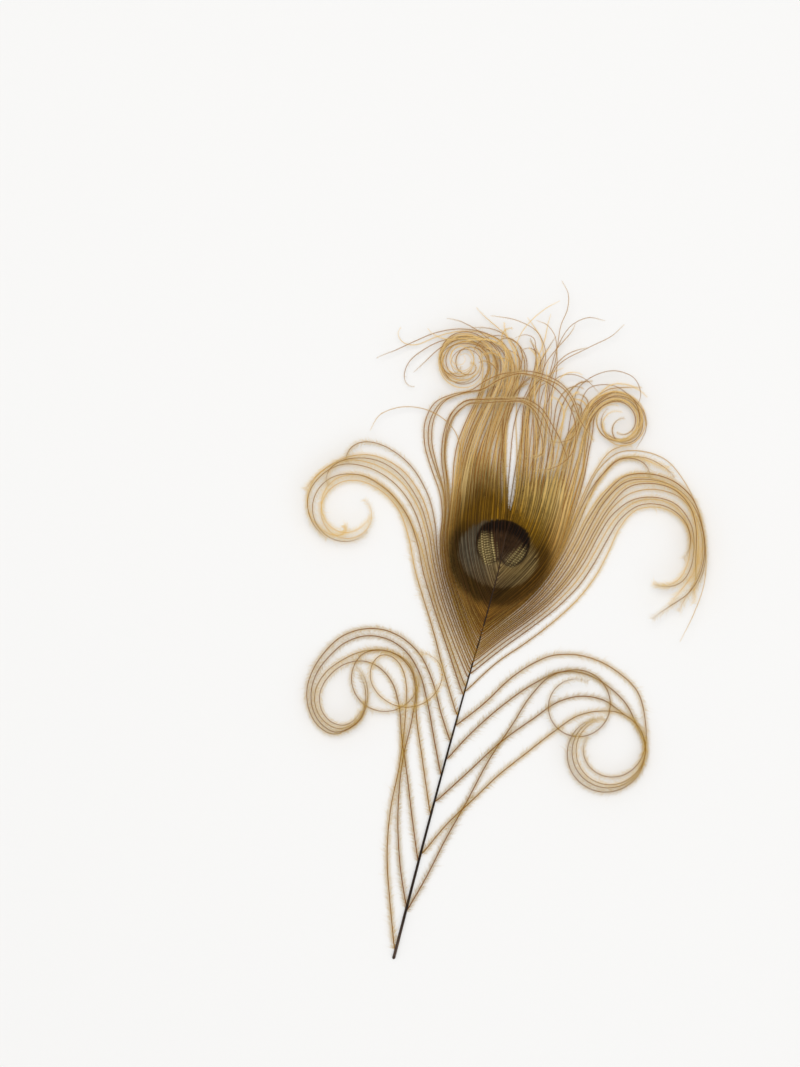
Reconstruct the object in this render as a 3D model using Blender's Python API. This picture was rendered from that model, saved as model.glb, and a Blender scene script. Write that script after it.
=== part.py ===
"""A loose peacock eye feather with curled barbs, lying face up on the surface.

The feather grew as one piece, so it is one solid: a tapering shaft, a thin vane round the eye, and the
locks that the barbs gather into, each following its barbs from the shaft to their tips.
"""

import math
from collections import namedtuple

import bmesh
import bpy
from mathutils import Vector

MM = 0.001

# Driving dimensions, in millimetres
SHAFT_LENGTH = 107.0
QUILL_WIDTH = 0.8
SHAFT_TIP_WIDTH = 0.3
VANE_THICKNESS = 0.35
LOOSE_BARB_WIDTH = 0.9
VANE_LOCK_WIDTH = 3.1
PLUME_LOCK_WIDTH = 1.5
WISP_WIDTH = 0.7
TIP_WIDTH = 0.6

# How much a lock widens from its root over its whole way, and the stretch over which the locks of the
# vane narrow again above it
PLUME_WIDENING = 3.0
VANE_WIDENING = 12.0
VANE_TOP = 120.5
NARROWING_ABOVE = 12.0
NARROWING_LENGTH = 16.0

# The feather is laid out on a plan with x to the right and y up the shaft from the cut end of the
# quill, in millimetres. This point of the plan is the middle of the finished feather.
PLAN_CENTRE = (0.0, 84.2)

# How a lock is drawn: the turn between two points along it and the distance between them
CURL_STEP = 40.0
MOST_TURN = 20.0
MOST_STEP = 9.0
FINE_STEP = 0.5

# Points of a mesh closer than this, in metres, are one point
WELD_DISTANCE = 1e-6

# Heights over the surface where a barb lies flat, and the share of its way from which its tip lifts
SHAFT_HEIGHT = 0.45
LOOSE_HEIGHT = 0.42
LOCK_UNDERSIDE = 0.18
SHINGLE_STEP = 0.07
SHINGLES = 3
LIFT_FROM = 0.42
EARLY_LIFT = 0.2

# Thickness of a barb or lock as a share of its width
LOOSE_FLATNESS = 0.62
LOCK_FLATNESS = 0.26

BARB_COLOUR = (0.34, 0.19, 0.06, 1.0)
BARB_ROUGHNESS = 0.55

ROUND_KINDS = ("loose", "wisp")

Strand = namedtuple("Strand", "kind lift points curl")


def strand(kind, lift, points, curl=None):
    """One lock's way over the plan, from its root on the shaft.

    lift is how high its tip rises. curl is (centre, turn in degrees, last radius), with a positive turn
    running anticlockwise.
    """
    return Strand(kind, lift, [Vector(p) for p in points], curl)


# The shaft's bends, over the plan
SHAFT_LINE = [
    (0.0, 0.0), (-0.1, 25.0), (0.0, 50.0), (0.3, 70.0), (0.7, 86.0), (0.7, 98.0), (0.2, SHAFT_LENGTH),
]

# The edge of the closed vane that carries the eye, with the split above it
VANE_EDGE = [
    (0.6, 77.0), (5.0, 82.5), (9.0, 88.0), (12.4, 94.0), (14.4, 100.0), (15.1, 106.0), (14.8, 112.0),
    (13.4, 117.0), (9.0, 120.0), (4.0, VANE_TOP), (0.8, 117.5), (-1.2, 113.0), (-3.0, 118.0),
    (-6.5, 121.0), (-11.0, 120.0), (-14.6, 116.0), (-14.6, 110.0), (-14.3, 104.0), (-13.6, 99.0),
    (-11.4, 94.0), (-7.6, 88.0), (-3.6, 82.0),
]

# Loose barbs low on the right, which circle clockwise
RIGHT_LOW = [
    strand("loose", 5.0, [
        (0.0, 11.5), (2.6, 21.0), (4.8, 31.0), (7.4, 41.0), (10.3, 53.0), (13.4, 62.0),
        (16.2, 70.5), (19.3, 75.7), (23.0, 78.1),
    ], ((27.2, 70.6), -400, 6.3)),
    strand("loose", 6.0, [
        (0.1, 26.0), (4.5, 35.3), (8.9, 42.3), (13.2, 49.3), (18.6, 56.5), (23.5, 62.9),
        (28.5, 68.4), (34.0, 70.9),
    ], ((37.3, 62.3), -360, 7.7)),
    strand("loose", 4.6, [
        (0.0, 39.0), (6.0, 48.3), (12.0, 57.6), (18.0, 64.8), (23.0, 70.4), (28.0, 73.0),
        (33.5, 73.3), (38.5, 71.4),
    ], ((37.0, 61.9), -330, 8.2)),
    strand("loose", 3.2, [
        (0.0, 49.5), (4.0, 57.0), (10.0, 66.0), (16.0, 73.0), (21.0, 77.1), (27.0, 78.4),
        (33.0, 77.0), (38.5, 74.0), (43.0, 68.8),
    ], ((36.6, 61.2), -290, 8.8)),
    strand("loose", 2.2, [
        (0.0, 58.0), (5.4, 65.1), (10.6, 73.3), (14.5, 77.6), (18.1, 80.4), (23.0, 82.1),
        (29.0, 82.3), (35.0, 80.7), (40.5, 77.5), (44.0, 71.5), (45.7, 64.0),
    ], ((37.0, 63.0), -200, 5.5)),
]

# Loose barbs low on the left, which circle the other way
LEFT_LOW = [
    strand("loose", 5.4, [
        (-0.2, 2.0), (-4.6, 14.0), (-7.5, 22.7), (-9.85, 35.0), (-10.4, 45.2), (-12.1, 57.5),
        (-13.8, 64.9), (-15.1, 67.6), (-17.2, 69.8), (-19.6, 70.7), (-21.6, 70.2), (-22.8, 68.3),
        (-23.0, 65.9), (-22.2, 63.6), (-20.3, 61.5), (-17.7, 60.1), (-14.5, 59.5), (-11.8, 60.0),
        (-9.2, 61.4), (-7.2, 63.7), (-6.0, 66.9), (-6.2, 69.9), (-7.7, 72.2), (-10.2, 73.4),
        (-12.9, 73.6),
    ]),
    strand("loose", 3.0, [
        (0.0, 12.5), (-4.6, 23.5), (-8.1, 35.4), (-10.0, 47.0), (-10.4, 58.0), (-11.2, 64.0),
        (-13.6, 68.7), (-17.5, 71.2), (-22.0, 71.4), (-26.0, 69.2),
    ], ((-19.5, 65.3), 230, 8.6)),
    strand("loose", 4.2, [
        (-0.1, 24.0), (-4.2, 34.0), (-8.3, 44.4), (-11.8, 52.8), (-14.4, 60.0), (-17.2, 64.5),
        (-20.3, 66.9), (-24.5, 67.9), (-29.0, 66.3), (-32.2, 62.5), (-33.4, 58.0), (-32.0, 54.0),
        (-29.0, 51.8), (-26.0, 51.8), (-23.8, 53.6), (-22.8, 56.5),
    ]),
    strand("loose", 2.4, [
        (0.0, 35.5), (-5.4, 48.3), (-9.9, 59.4), (-11.6, 66.0), (-14.5, 70.0), (-20.0, 71.6),
        (-26.0, 70.0), (-30.5, 66.5), (-33.5, 62.5), (-34.6, 58.0), (-33.3, 53.8), (-30.3, 51.2),
        (-27.0, 50.6), (-24.0, 52.4), (-22.4, 55.5), (-22.5, 59.0),
    ]),
    strand("loose", 5.8, [
        (0.0, 45.5), (-4.0, 54.0), (-8.0, 62.5), (-11.5, 68.5), (-16.0, 72.7), (-21.0, 74.4),
        (-26.0, 73.9), (-30.6, 71.0), (-33.4, 67.0), (-35.3, 62.5), (-35.6, 58.0), (-34.0, 53.5),
        (-31.0, 50.6), (-27.5, 49.7), (-24.4, 51.6), (-22.4, 54.6), (-22.2, 58.3), (-23.3, 62.0),
        (-25.5, 65.0),
    ]),
    strand("loose", 3.6, [
        (0.1, 54.0), (-4.0, 60.5), (-8.0, 67.5), (-12.5, 72.8), (-18.0, 75.7), (-23.0, 76.3),
        (-27.8, 75.0), (-31.8, 72.2), (-34.6, 68.0), (-36.4, 63.0), (-36.7, 58.0), (-35.0, 53.3),
        (-31.8, 50.0), (-28.0, 49.0), (-24.8, 50.9), (-22.4, 54.0), (-21.8, 57.5), (-22.5, 61.5),
        (-24.4, 64.6), (-26.6, 66.2),
    ]),
]

# The lock that arches out on the right beside the eye, from its lowest barb to its highest
RIGHT_ARCH = [
    strand("plume", 3.0, [
        (0.2, 66.5), (6.0, 75.6), (12.0, 82.5), (17.0, 89.0), (21.0, 95.3), (23.8, 102.0),
        (25.3, 108.5), (26.5, 114.5), (29.5, 119.6), (34.5, 121.3), (39.5, 120.0), (43.0, 116.6),
        (44.7, 112.0), (44.4, 107.5), (42.5, 104.0), (39.5, 102.0),
    ]),
    strand("plume", 4.0, [
        (0.3, 71.0), (6.0, 78.7), (12.0, 86.0), (17.0, 92.6), (20.5, 98.7), (22.7, 105.0),
        (24.2, 111.0), (26.2, 117.0), (29.7, 121.1), (35.0, 122.4), (40.5, 120.6), (44.0, 116.2),
        (45.4, 111.0), (45.0, 106.5), (43.5, 102.5), (42.8, 99.2),
    ]),
    strand("plume", 5.0, [
        (0.3, 74.0), (6.0, 81.5), (11.0, 87.5), (15.5, 93.8), (18.6, 99.7), (20.6, 105.5),
        (22.0, 111.5), (23.8, 117.3), (27.4, 122.2), (32.5, 124.3), (38.0, 123.9), (42.6, 120.4),
        (45.3, 115.0), (45.9, 110.0), (44.5, 105.5), (41.5, 102.6), (37.5, 101.0),
    ]),
    strand("plume", 6.0, [
        (0.4, 76.0), (5.5, 82.8), (10.5, 89.0), (14.5, 95.0), (17.2, 101.0), (18.9, 107.0),
        (20.2, 113.0), (22.2, 119.5), (26.0, 125.2), (31.0, 127.0), (36.5, 126.8), (41.3, 124.0),
        (44.7, 118.8), (46.3, 113.0), (46.0, 108.0), (44.3, 104.3), (41.3, 101.5), (38.0, 99.2),
        (35.0, 97.8),
    ]),
    strand("plume", 4.5, [
        (0.5, 78.0), (5.0, 84.0), (9.5, 89.8), (13.0, 95.8), (15.4, 102.0), (17.2, 108.5),
        (18.6, 115.0), (20.8, 121.5), (24.7, 126.8), (30.0, 128.4), (35.5, 128.0), (40.3, 125.6),
        (44.3, 120.7), (46.7, 114.5), (46.8, 109.0), (45.0, 104.0), (42.0, 100.0), (38.5, 95.2),
        (36.0, 91.0),
    ]),
    strand("plume", 3.0, [
        (0.5, 80.5), (4.5, 86.0), (8.6, 91.8), (11.7, 97.8), (13.8, 104.0), (15.2, 110.5),
        (16.4, 118.0), (18.3, 125.5), (21.5, 131.0), (27.0, 132.4), (32.0, 130.6), (36.0, 127.8),
    ]),
    strand("wisp", 5.0, [
        (0.6, 81.5), (4.3, 87.0), (8.3, 92.6), (11.3, 98.5), (13.4, 104.8), (15.0, 112.0),
        (16.2, 119.0), (18.0, 127.0), (21.5, 132.0), (27.0, 133.8), (33.0, 133.2), (38.0, 129.8),
        (43.0, 124.0), (47.3, 115.5), (49.2, 107.0), (48.6, 99.0), (47.0, 91.5),
    ]),
]

# The lock beside the eye on the left, which curls outwards
LEFT_ARCH = [
    strand("loose", 3.0, [
        (0.1, 60.5), (-6.0, 70.5), (-11.0, 79.5), (-15.0, 86.0), (-18.5, 92.0), (-22.0, 99.0),
        (-26.5, 104.8), (-32.0, 107.8), (-37.5, 108.3),
    ], ((-36.8, 101.6), 330, 5.0)),
    strand("loose", 4.5, [
        (0.2, 65.7), (-6.0, 75.3), (-12.0, 84.5), (-16.5, 92.0), (-20.0, 98.5), (-25.0, 105.0),
        (-31.0, 109.2), (-37.5, 110.5), (-43.0, 108.0),
    ], ((-38.0, 102.5), 260, 5.5)),
    strand("plume", 5.5, [
        (0.3, 70.0), (-6.0, 78.5), (-11.5, 86.5), (-15.5, 93.5), (-18.7, 100.0), (-23.0, 106.5),
        (-29.0, 111.3), (-36.0, 113.3), (-42.5, 112.2), (-46.8, 107.5),
    ], ((-39.8, 103.0), 240, 6.0)),
    strand("plume", 3.5, [
        (0.4, 73.0), (-5.5, 81.0), (-10.5, 88.5), (-14.5, 96.0), (-17.5, 103.0), (-22.0, 110.0),
        (-28.5, 115.0), (-36.0, 116.3), (-43.0, 114.0), (-47.5, 109.5), (-49.0, 104.0),
        (-48.3, 98.0),
    ]),
]

# Barbs from the left edge of the vane, which sweep over the plume to the right
SWEEPS = [
    strand("plume", 6.5, [
        (0.5, 75.5), (-4.0, 81.5), (-8.0, 87.5), (-11.9, 94.0), (-14.4, 101.0), (-15.4, 107.0),
        (-17.2, 112.0), (-20.5, 117.5), (-23.3, 123.0), (-24.2, 128.5), (-22.8, 133.3),
        (-19.0, 136.4), (-14.5, 138.7), (-11.3, 142.0), (-7.3, 144.9), (-1.5, 145.9), (4.5, 144.9),
        (9.0, 141.8), (11.8, 137.0), (11.8, 132.5), (8.5, 129.3), (4.0, 128.2), (-0.5, 128.0),
    ]),
    strand("plume", 5.0, [
        (0.5, 77.0), (-3.8, 82.7), (-7.8, 88.7), (-11.4, 95.0), (-13.8, 101.5), (-14.9, 108.0),
        (-16.5, 114.0), (-19.0, 120.0), (-20.3, 126.0), (-20.0, 131.0), (-17.5, 134.8),
        (-13.0, 136.5), (-8.0, 138.0), (-3.0, 139.0), (1.5, 137.6), (5.0, 133.8), (7.7, 129.0),
        (8.5, 125.0), (6.8, 122.3), (3.5, 120.8),
    ]),
]

# Locks of the plume over the left half of the eye, from the vane's edge to the split
LEFT_PLUME = [
    strand("vane", 4.0, [
        (0.6, 79.5), (-3.5, 84.5), (-7.0, 89.5), (-10.5, 95.0), (-12.8, 101.0), (-13.8, 107.0),
        (-14.6, 113.0), (-15.4, 119.0), (-15.8, 125.0), (-15.2, 131.0), (-14.2, 136.0),
        (-13.8, 141.0),
    ], ((-20.0, 143.3), 560, 1.8)),
    strand("vane", 2.5, [
        (0.6, 82.5), (-3.2, 86.6), (-6.5, 91.8), (-9.8, 97.3), (-11.9, 103.3), (-12.9, 109.5),
        (-13.7, 115.5), (-14.1, 121.5), (-13.9, 127.5), (-13.0, 133.5), (-12.0, 139.5),
        (-12.0, 144.0), (-14.2, 147.8), (-18.0, 149.3),
    ], ((-20.4, 143.8), 420, 2.4)),
    strand("vane", 5.2, [
        (0.7, 85.5), (-2.8, 89.5), (-6.0, 94.3), (-8.9, 99.8), (-10.7, 105.5), (-11.7, 111.5),
        (-12.5, 117.5), (-12.8, 123.5), (-12.4, 129.5), (-11.3, 135.5), (-10.3, 141.0),
        (-10.5, 145.7), (-12.8, 149.1), (-17.2, 150.6), (-22.5, 149.6), (-27.0, 146.8),
        (-30.8, 143.3), (-33.8, 141.3), (-35.0, 138.3), (-34.8, 135.5),
    ]),
    strand("vane", 3.2, [
        (0.8, 88.5), (-2.3, 92.3), (-5.1, 97.0), (-7.4, 102.2), (-8.9, 107.8), (-9.9, 113.5),
        (-10.8, 119.5), (-11.1, 125.5), (-10.6, 131.5), (-9.6, 137.5), (-8.9, 142.5), (-9.3, 147.0),
        (-12.2, 150.2), (-17.0, 151.2), (-22.5, 150.3), (-27.5, 147.7), (-32.0, 144.0),
        (-36.0, 140.8), (-40.0, 138.5), (-43.5, 135.7), (-45.8, 132.3), (-46.5, 129.0),
    ]),
    strand("vane", 4.6, [
        (0.8, 91.5), (-1.8, 95.3), (-4.2, 99.6), (-6.0, 104.5), (-7.1, 109.8), (-7.9, 115.5),
        (-8.8, 121.5), (-9.2, 127.5), (-8.8, 133.5), (-8.0, 139.5), (-7.6, 144.5), (-8.9, 148.6),
        (-12.4, 151.2), (-17.5, 152.0), (-22.3, 151.5), (-25.8, 150.3),
    ]),
    strand("vane", 2.8, [
        (0.8, 95.0), (-1.1, 98.8), (-3.0, 102.8), (-4.4, 107.3), (-5.2, 112.0), (-6.0, 117.5),
        (-6.8, 123.0), (-7.3, 129.0), (-7.3, 135.0), (-6.9, 140.5), (-6.6, 145.2), (-8.0, 148.6),
        (-11.4, 151.0), (-16.0, 151.6), (-20.5, 150.6), (-24.8, 148.0), (-29.3, 145.6),
    ]),
    strand("vane", 2.0, [
        (0.6, 100.0), (-0.5, 103.3), (-1.5, 107.5), (-2.1, 111.5), (-3.0, 116.5), (-4.4, 121.5),
        (-5.6, 127.0), (-6.4, 132.5), (-6.3, 138.0), (-5.6, 143.0), (-6.3, 147.0), (-9.0, 149.9),
        (-13.0, 150.5),
    ]),
]

# Locks of the plume over the right half of the eye, from the vane's edge to the split
RIGHT_PLUME = [
    strand("vane", 3.5, [
        (0.6, 83.0), (4.0, 87.2), (8.0, 92.0), (11.4, 97.2), (13.5, 102.8), (14.2, 108.2),
        (14.3, 113.8), (14.6, 119.5), (14.6, 125.5), (13.8, 131.3), (13.0, 136.0),
    ], ((19.4, 139.2), -480, 4.2)),
    strand("vane", 5.0, [
        (0.7, 86.0), (4.0, 90.3), (7.4, 95.0), (10.2, 100.0), (11.9, 105.2), (12.4, 110.5),
        (12.4, 116.0), (12.5, 122.0), (12.3, 128.0), (12.1, 134.0), (12.9, 139.5), (15.0, 142.8),
        (18.0, 144.6),
    ], ((19.3, 139.3), -420, 3.0)),
    strand("vane", 4.2, [
        (0.8, 89.0), (3.6, 93.3), (6.6, 98.0), (8.9, 103.0), (10.1, 108.2), (10.4, 113.5),
        (10.4, 119.0), (10.4, 125.0), (10.2, 131.0), (10.8, 137.0), (13.0, 142.6), (17.0, 146.4),
        (21.2, 145.9), (24.8, 142.4), (26.1, 138.0), (25.2, 133.7),
    ]),
    strand("vane", 2.5, [
        (0.8, 92.0), (3.2, 96.0), (5.7, 100.3), (7.6, 105.0), (8.4, 110.0), (8.6, 115.5),
        (8.6, 121.0), (8.5, 127.0), (8.8, 132.3), (10.6, 136.5), (11.3, 139.4),
    ], ((8.8, 139.5), 330, 1.9)),
    strand("vane", 3.2, [
        (0.8, 95.0), (2.8, 98.8), (4.8, 102.8), (6.1, 107.2), (6.6, 112.0), (6.7, 117.5),
        (6.4, 123.0), (5.8, 129.0), (5.0, 135.0), (4.3, 140.5), (5.0, 145.0), (7.6, 147.3),
        (11.0, 146.8), (14.0, 144.5),
    ]),
    strand("vane", 5.5, [
        (0.7, 98.0), (2.3, 101.8), (3.8, 106.0), (4.5, 110.8), (4.5, 116.5), (3.9, 122.5),
        (3.0, 129.0), (1.6, 136.0), (0.8, 142.5), (1.3, 147.5), (3.6, 151.0), (8.0, 154.7),
        (12.0, 158.2), (15.0, 162.3),
    ]),
    strand("vane", 4.0, [
        (0.5, 101.5), (1.7, 105.3), (2.5, 110.0), (2.5, 115.5), (1.7, 121.5), (0.5, 128.5),
        (-1.0, 135.5), (-1.9, 142.0), (-1.2, 147.5), (0.6, 152.8), (2.3, 157.5), (5.0, 160.8),
        (10.5, 161.6),
    ]),
    strand("vane", 3.0, [
        (0.3, 104.5), (1.0, 108.5), (1.2, 113.5), (0.8, 119.0), (-0.1, 125.5), (-1.3, 132.0),
        (-2.2, 139.0), (-1.8, 145.0), (-2.2, 150.3), (-4.2, 154.4), (-8.0, 156.2), (-12.5, 156.2),
        (-17.0, 155.8),
    ]),
]

# Thin single barbs that stand out of the plume
WISPS = [
    strand("wisp", 6.4, [
        (0.6, 100.0), (2.0, 104.0), (3.1, 108.5), (3.5, 114.0), (2.9, 121.0), (1.8, 128.0),
        (0.6, 135.0), (0.2, 142.0), (1.2, 148.0), (0.7, 153.0), (0.2, 158.0), (0.7, 162.0),
        (0.0, 165.5), (-2.5, 168.4),
    ]),
    strand("wisp", 7.4, [
        (0.3, 103.5), (0.7, 109.0), (0.3, 115.0), (-1.0, 121.0), (-2.5, 127.0), (-4.3, 133.0),
        (-5.6, 139.0), (-6.8, 144.0), (-8.8, 149.0), (-8.7, 153.0), (-6.5, 158.0), (-4.0, 161.2),
        (-1.5, 163.5),
    ]),
    strand("wisp", 5.0, [
        (0.8, 91.0), (3.4, 95.2), (6.2, 99.8), (8.3, 104.5), (9.3, 110.0), (9.6, 119.0),
        (9.3, 126.0), (8.6, 133.0), (8.0, 140.0), (8.2, 144.5), (11.0, 148.3), (16.0, 150.8),
        (20.8, 149.9), (23.0, 146.3), (22.3, 142.5),
    ]),
    strand("wisp", 4.0, [
        (0.6, 84.0), (-3.0, 88.0), (-6.3, 93.0), (-9.4, 98.5), (-11.4, 104.5), (-12.5, 110.0),
        (-13.6, 116.0), (-15.0, 122.0), (-18.0, 127.0), (-22.5, 129.6), (-28.0, 130.2),
        (-33.0, 128.8), (-36.5, 126.0), (-37.8, 121.7),
    ]),
]

GROUPS = {
    "right_low": RIGHT_LOW,
    "left_low": LEFT_LOW,
    "right_arch": RIGHT_ARCH,
    "left_arch": LEFT_ARCH,
    "sweep": SWEEPS,
    "left_plume": LEFT_PLUME,
    "right_plume": RIGHT_PLUME,
    "wisp": WISPS,
}


def clear_scene():
    for obj in list(bpy.data.objects):
        bpy.data.objects.remove(obj, do_unlink=True)


def make_collection(name):
    collection = bpy.data.collections.new(name)
    bpy.context.scene.collection.children.link(collection)
    return collection


def barb_material():
    material = bpy.data.materials.new("barbs")
    material.use_nodes = True
    shader = material.node_tree.nodes["Principled BSDF"]
    shader.inputs["Base Color"].default_value = BARB_COLOUR
    shader.inputs["Roughness"].default_value = BARB_ROUGHNESS
    shader.inputs["Metallic"].default_value = 0.0
    material.diffuse_color = BARB_COLOUR
    return material


def curl_points(start, centre, turn, last_radius):
    """Points along a spiral about centre, from start on."""
    arm = start - centre
    first_angle = math.atan2(arm.y, arm.x)
    count = round(abs(turn) / CURL_STEP)
    points = []
    for i in range(1, count + 1):
        share = i / count
        radius = arm.length + (last_radius - arm.length) * share
        angle = first_angle + math.radians(turn) * share
        points.append(centre + radius * Vector((math.cos(angle), math.sin(angle))))
    return points


def smooth_line(points):
    """A smooth line through the points, as points FINE_STEP apart."""
    gaps = [(b - a).length for a, b in zip(points, points[1:])]
    slopes = [(points[1] - points[0]) / gaps[0]]
    for i in range(1, len(points) - 1):
        before = (points[i] - points[i - 1]) / gaps[i - 1]
        after = (points[i + 1] - points[i]) / gaps[i]
        slopes.append((before * gaps[i] + after * gaps[i - 1]) / (gaps[i - 1] + gaps[i]))
    slopes.append((points[-1] - points[-2]) / gaps[-1])
    line = []
    for i, gap in enumerate(gaps):
        count = max(1, round(gap / FINE_STEP))
        for j in range(count):
            t = j / count
            line.append(
                (2 * t**3 - 3 * t**2 + 1) * points[i]
                + (t**3 - 2 * t**2 + t) * gap * slopes[i]
                + (3 * t**2 - 2 * t**3) * points[i + 1]
                + (t**3 - t**2) * gap * slopes[i + 1]
            )
    return line + [points[-1]]


def thin_out(line):
    """The indices of the fewest points that still follow the line's bends."""
    kept = [0]
    turned = 0.0
    walked = 0.0
    for i in range(1, len(line) - 1):
        before = line[i] - line[i - 1]
        after = line[i + 1] - line[i]
        turned += abs(math.degrees(before.angle_signed(after, 0.0)))
        walked += before.length
        if turned >= MOST_TURN or walked >= MOST_STEP:
            kept.append(i)
            turned = 0.0
            walked = 0.0
    return kept + [len(line) - 1]


def lock_height(kind, share, lift, shingle):
    """Height of a lock at a share of its way: of its underside, or of a loose barb's middle."""
    lying = LOOSE_HEIGHT if kind in ROUND_KINDS else LOCK_UNDERSIDE + shingle * SHINGLE_STEP
    rise = max(0.0, (share - LIFT_FROM) / (1.0 - LIFT_FROM))
    return lying + lift * (EARLY_LIFT * rise + (1.0 - EARLY_LIFT) * rise * rise * (3.0 - 2.0 * rise))


def lock_width(kind, share, y):
    """Width of a lock at a share of its way, y up the plan."""
    if kind == "loose":
        return LOOSE_BARB_WIDTH + (TIP_WIDTH - LOOSE_BARB_WIDTH) * share
    if kind == "wisp":
        return WISP_WIDTH + (TIP_WIDTH - WISP_WIDTH) * share
    plume = PLUME_LOCK_WIDTH + (TIP_WIDTH - PLUME_LOCK_WIDTH) * max(0.0, 2.0 * share - 1.0)
    if kind == "plume":
        return min(plume, LOOSE_BARB_WIDTH + PLUME_WIDENING * share)
    in_vane = min(1.0, max(0.0, (VANE_TOP + NARROWING_ABOVE - y) / NARROWING_LENGTH))
    return min(plume + (VANE_LOCK_WIDTH - plume) * in_vane, LOOSE_BARB_WIDTH + VANE_WIDENING * share)


def to_place(x, y, z):
    return Vector(((x - PLAN_CENTRE[0]) * MM, (y - PLAN_CENTRE[1]) * MM, z * MM))


def add_tube(data, places, widths):
    """Adds one line to a curve, with the size of its cross-section at each place."""
    spline = data.splines.new("POLY")
    spline.points.add(len(places) - 1)
    for point, place, width in zip(spline.points, places, widths):
        point.co = (*place, 1.0)
        point.radius = width


def make_profile(name, outline, profiles):
    """The cross-section of a lock one millimetre wide."""
    data = bpy.data.curves.new(name, "CURVE")
    data.dimensions = "2D"
    spline = data.splines.new("POLY")
    spline.points.add(len(outline) - 1)
    for point, (x, y) in zip(spline.points, outline):
        point.co = (x * MM, y * MM, 0.0, 1.0)
    spline.use_cyclic_u = True
    profile = bpy.data.objects.new(name, data)
    profile.hide_render = True
    profile.display_type = "WIRE"
    profiles.objects.link(profile)
    return profile


def mesh_of(obj, collection):
    """A mesh object in place of a curve, with its caps welded on."""
    bpy.context.view_layer.update()
    graph = bpy.context.evaluated_depsgraph_get()
    mesh = bpy.data.meshes.new_from_object(obj.evaluated_get(graph))
    work = bmesh.new()
    work.from_mesh(mesh)
    bmesh.ops.remove_doubles(work, verts=work.verts, dist=WELD_DISTANCE)
    bmesh.ops.recalc_face_normals(work, faces=work.faces)
    work.to_mesh(mesh)
    work.free()
    made = bpy.data.objects.new(obj.name + "_mesh", mesh)
    made.matrix_world = obj.matrix_world
    collection.objects.link(made)
    bpy.data.objects.remove(obj, do_unlink=True)
    return made


def make_lock(name, lock, shingle, profile, cutters):
    """One lock as a closed mesh, from its root in the shaft to its tip."""
    data = bpy.data.curves.new(name, "CURVE")
    data.dimensions = "3D"
    data.twist_mode = "Z_UP"
    data.bevel_mode = "OBJECT"
    data.bevel_object = profile
    data.use_fill_caps = True
    points = list(lock.points)
    if lock.curl:
        centre, turn, last_radius = lock.curl
        points += curl_points(points[-1], Vector(centre), turn, last_radius)
    line = smooth_line(points)
    places = []
    widths = []
    for i in thin_out(line):
        share = i / (len(line) - 1)
        places.append(to_place(line[i].x, line[i].y, lock_height(lock.kind, share, lock.lift, shingle)))
        widths.append(lock_width(lock.kind, share, line[i].y))
    add_tube(data, places, widths)
    obj = bpy.data.objects.new(name, data)
    cutters.objects.link(obj)
    return mesh_of(obj, cutters)


def make_shaft(cutters):
    """The shaft, which tapers from the quill to its end in the eye."""
    data = bpy.data.curves.new("shaft", "CURVE")
    data.dimensions = "3D"
    data.bevel_depth = 1.0
    data.bevel_resolution = 1
    data.use_fill_caps = True
    places = []
    radii = []
    for x, y in SHAFT_LINE:
        radius = 0.5 * (QUILL_WIDTH + (SHAFT_TIP_WIDTH - QUILL_WIDTH) * y / SHAFT_LENGTH)
        places.append(to_place(x, y, SHAFT_HEIGHT))
        radii.append(radius * MM)
    add_tube(data, places, radii)
    obj = bpy.data.objects.new("shaft", data)
    cutters.objects.link(obj)
    return mesh_of(obj, cutters)


def make_vane(collection):
    """The closed part of the vane, a thin plate whose flat underside lies on the surface."""
    data = bpy.data.curves.new("vane", "CURVE")
    data.dimensions = "2D"
    data.fill_mode = "BOTH"
    data.extrude = 0.5 * VANE_THICKNESS * MM
    spline = data.splines.new("POLY")
    spline.points.add(len(VANE_EDGE) - 1)
    for point, (x, y) in zip(spline.points, VANE_EDGE):
        point.co = (*to_place(x, y, 0.0), 1.0)
    spline.use_cyclic_u = True
    obj = bpy.data.objects.new("vane", data)
    obj.location.z = 0.5 * VANE_THICKNESS * MM
    collection.objects.link(obj)
    return mesh_of(obj, collection)


def main_body(work):
    """The vertices of the largest connected body in a mesh."""
    left = set(work.verts)
    largest = set()
    while left:
        body = set()
        to_visit = [left.pop()]
        while to_visit:
            vert = to_visit.pop()
            body.add(vert)
            near = {edge.other_vert(vert) for edge in vert.link_edges} & left
            left -= near
            to_visit.extend(near)
        if len(body) > len(largest):
            largest = body
    return largest


def join_all(feather, joined):
    """Joins everything in a collection to the feather, in one solid with no pockets sealed inside."""
    for piece in joined.objects:
        piece.hide_render = True
        piece.display_type = "WIRE"
    union = feather.modifiers.new("joined", "BOOLEAN")
    union.operation = "UNION"
    union.solver = "EXACT"
    union.operand_type = "COLLECTION"
    union.collection = joined
    bpy.context.view_layer.update()
    graph = bpy.context.evaluated_depsgraph_get()
    mesh = bpy.data.meshes.new_from_object(feather.evaluated_get(graph))
    work = bmesh.new()
    work.from_mesh(mesh)
    solid = main_body(work)
    bmesh.ops.delete(work, geom=[vert for vert in work.verts if vert not in solid], context="VERTS")
    work.to_mesh(mesh)
    work.free()
    feather.modifiers.clear()
    feather.data = mesh


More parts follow.
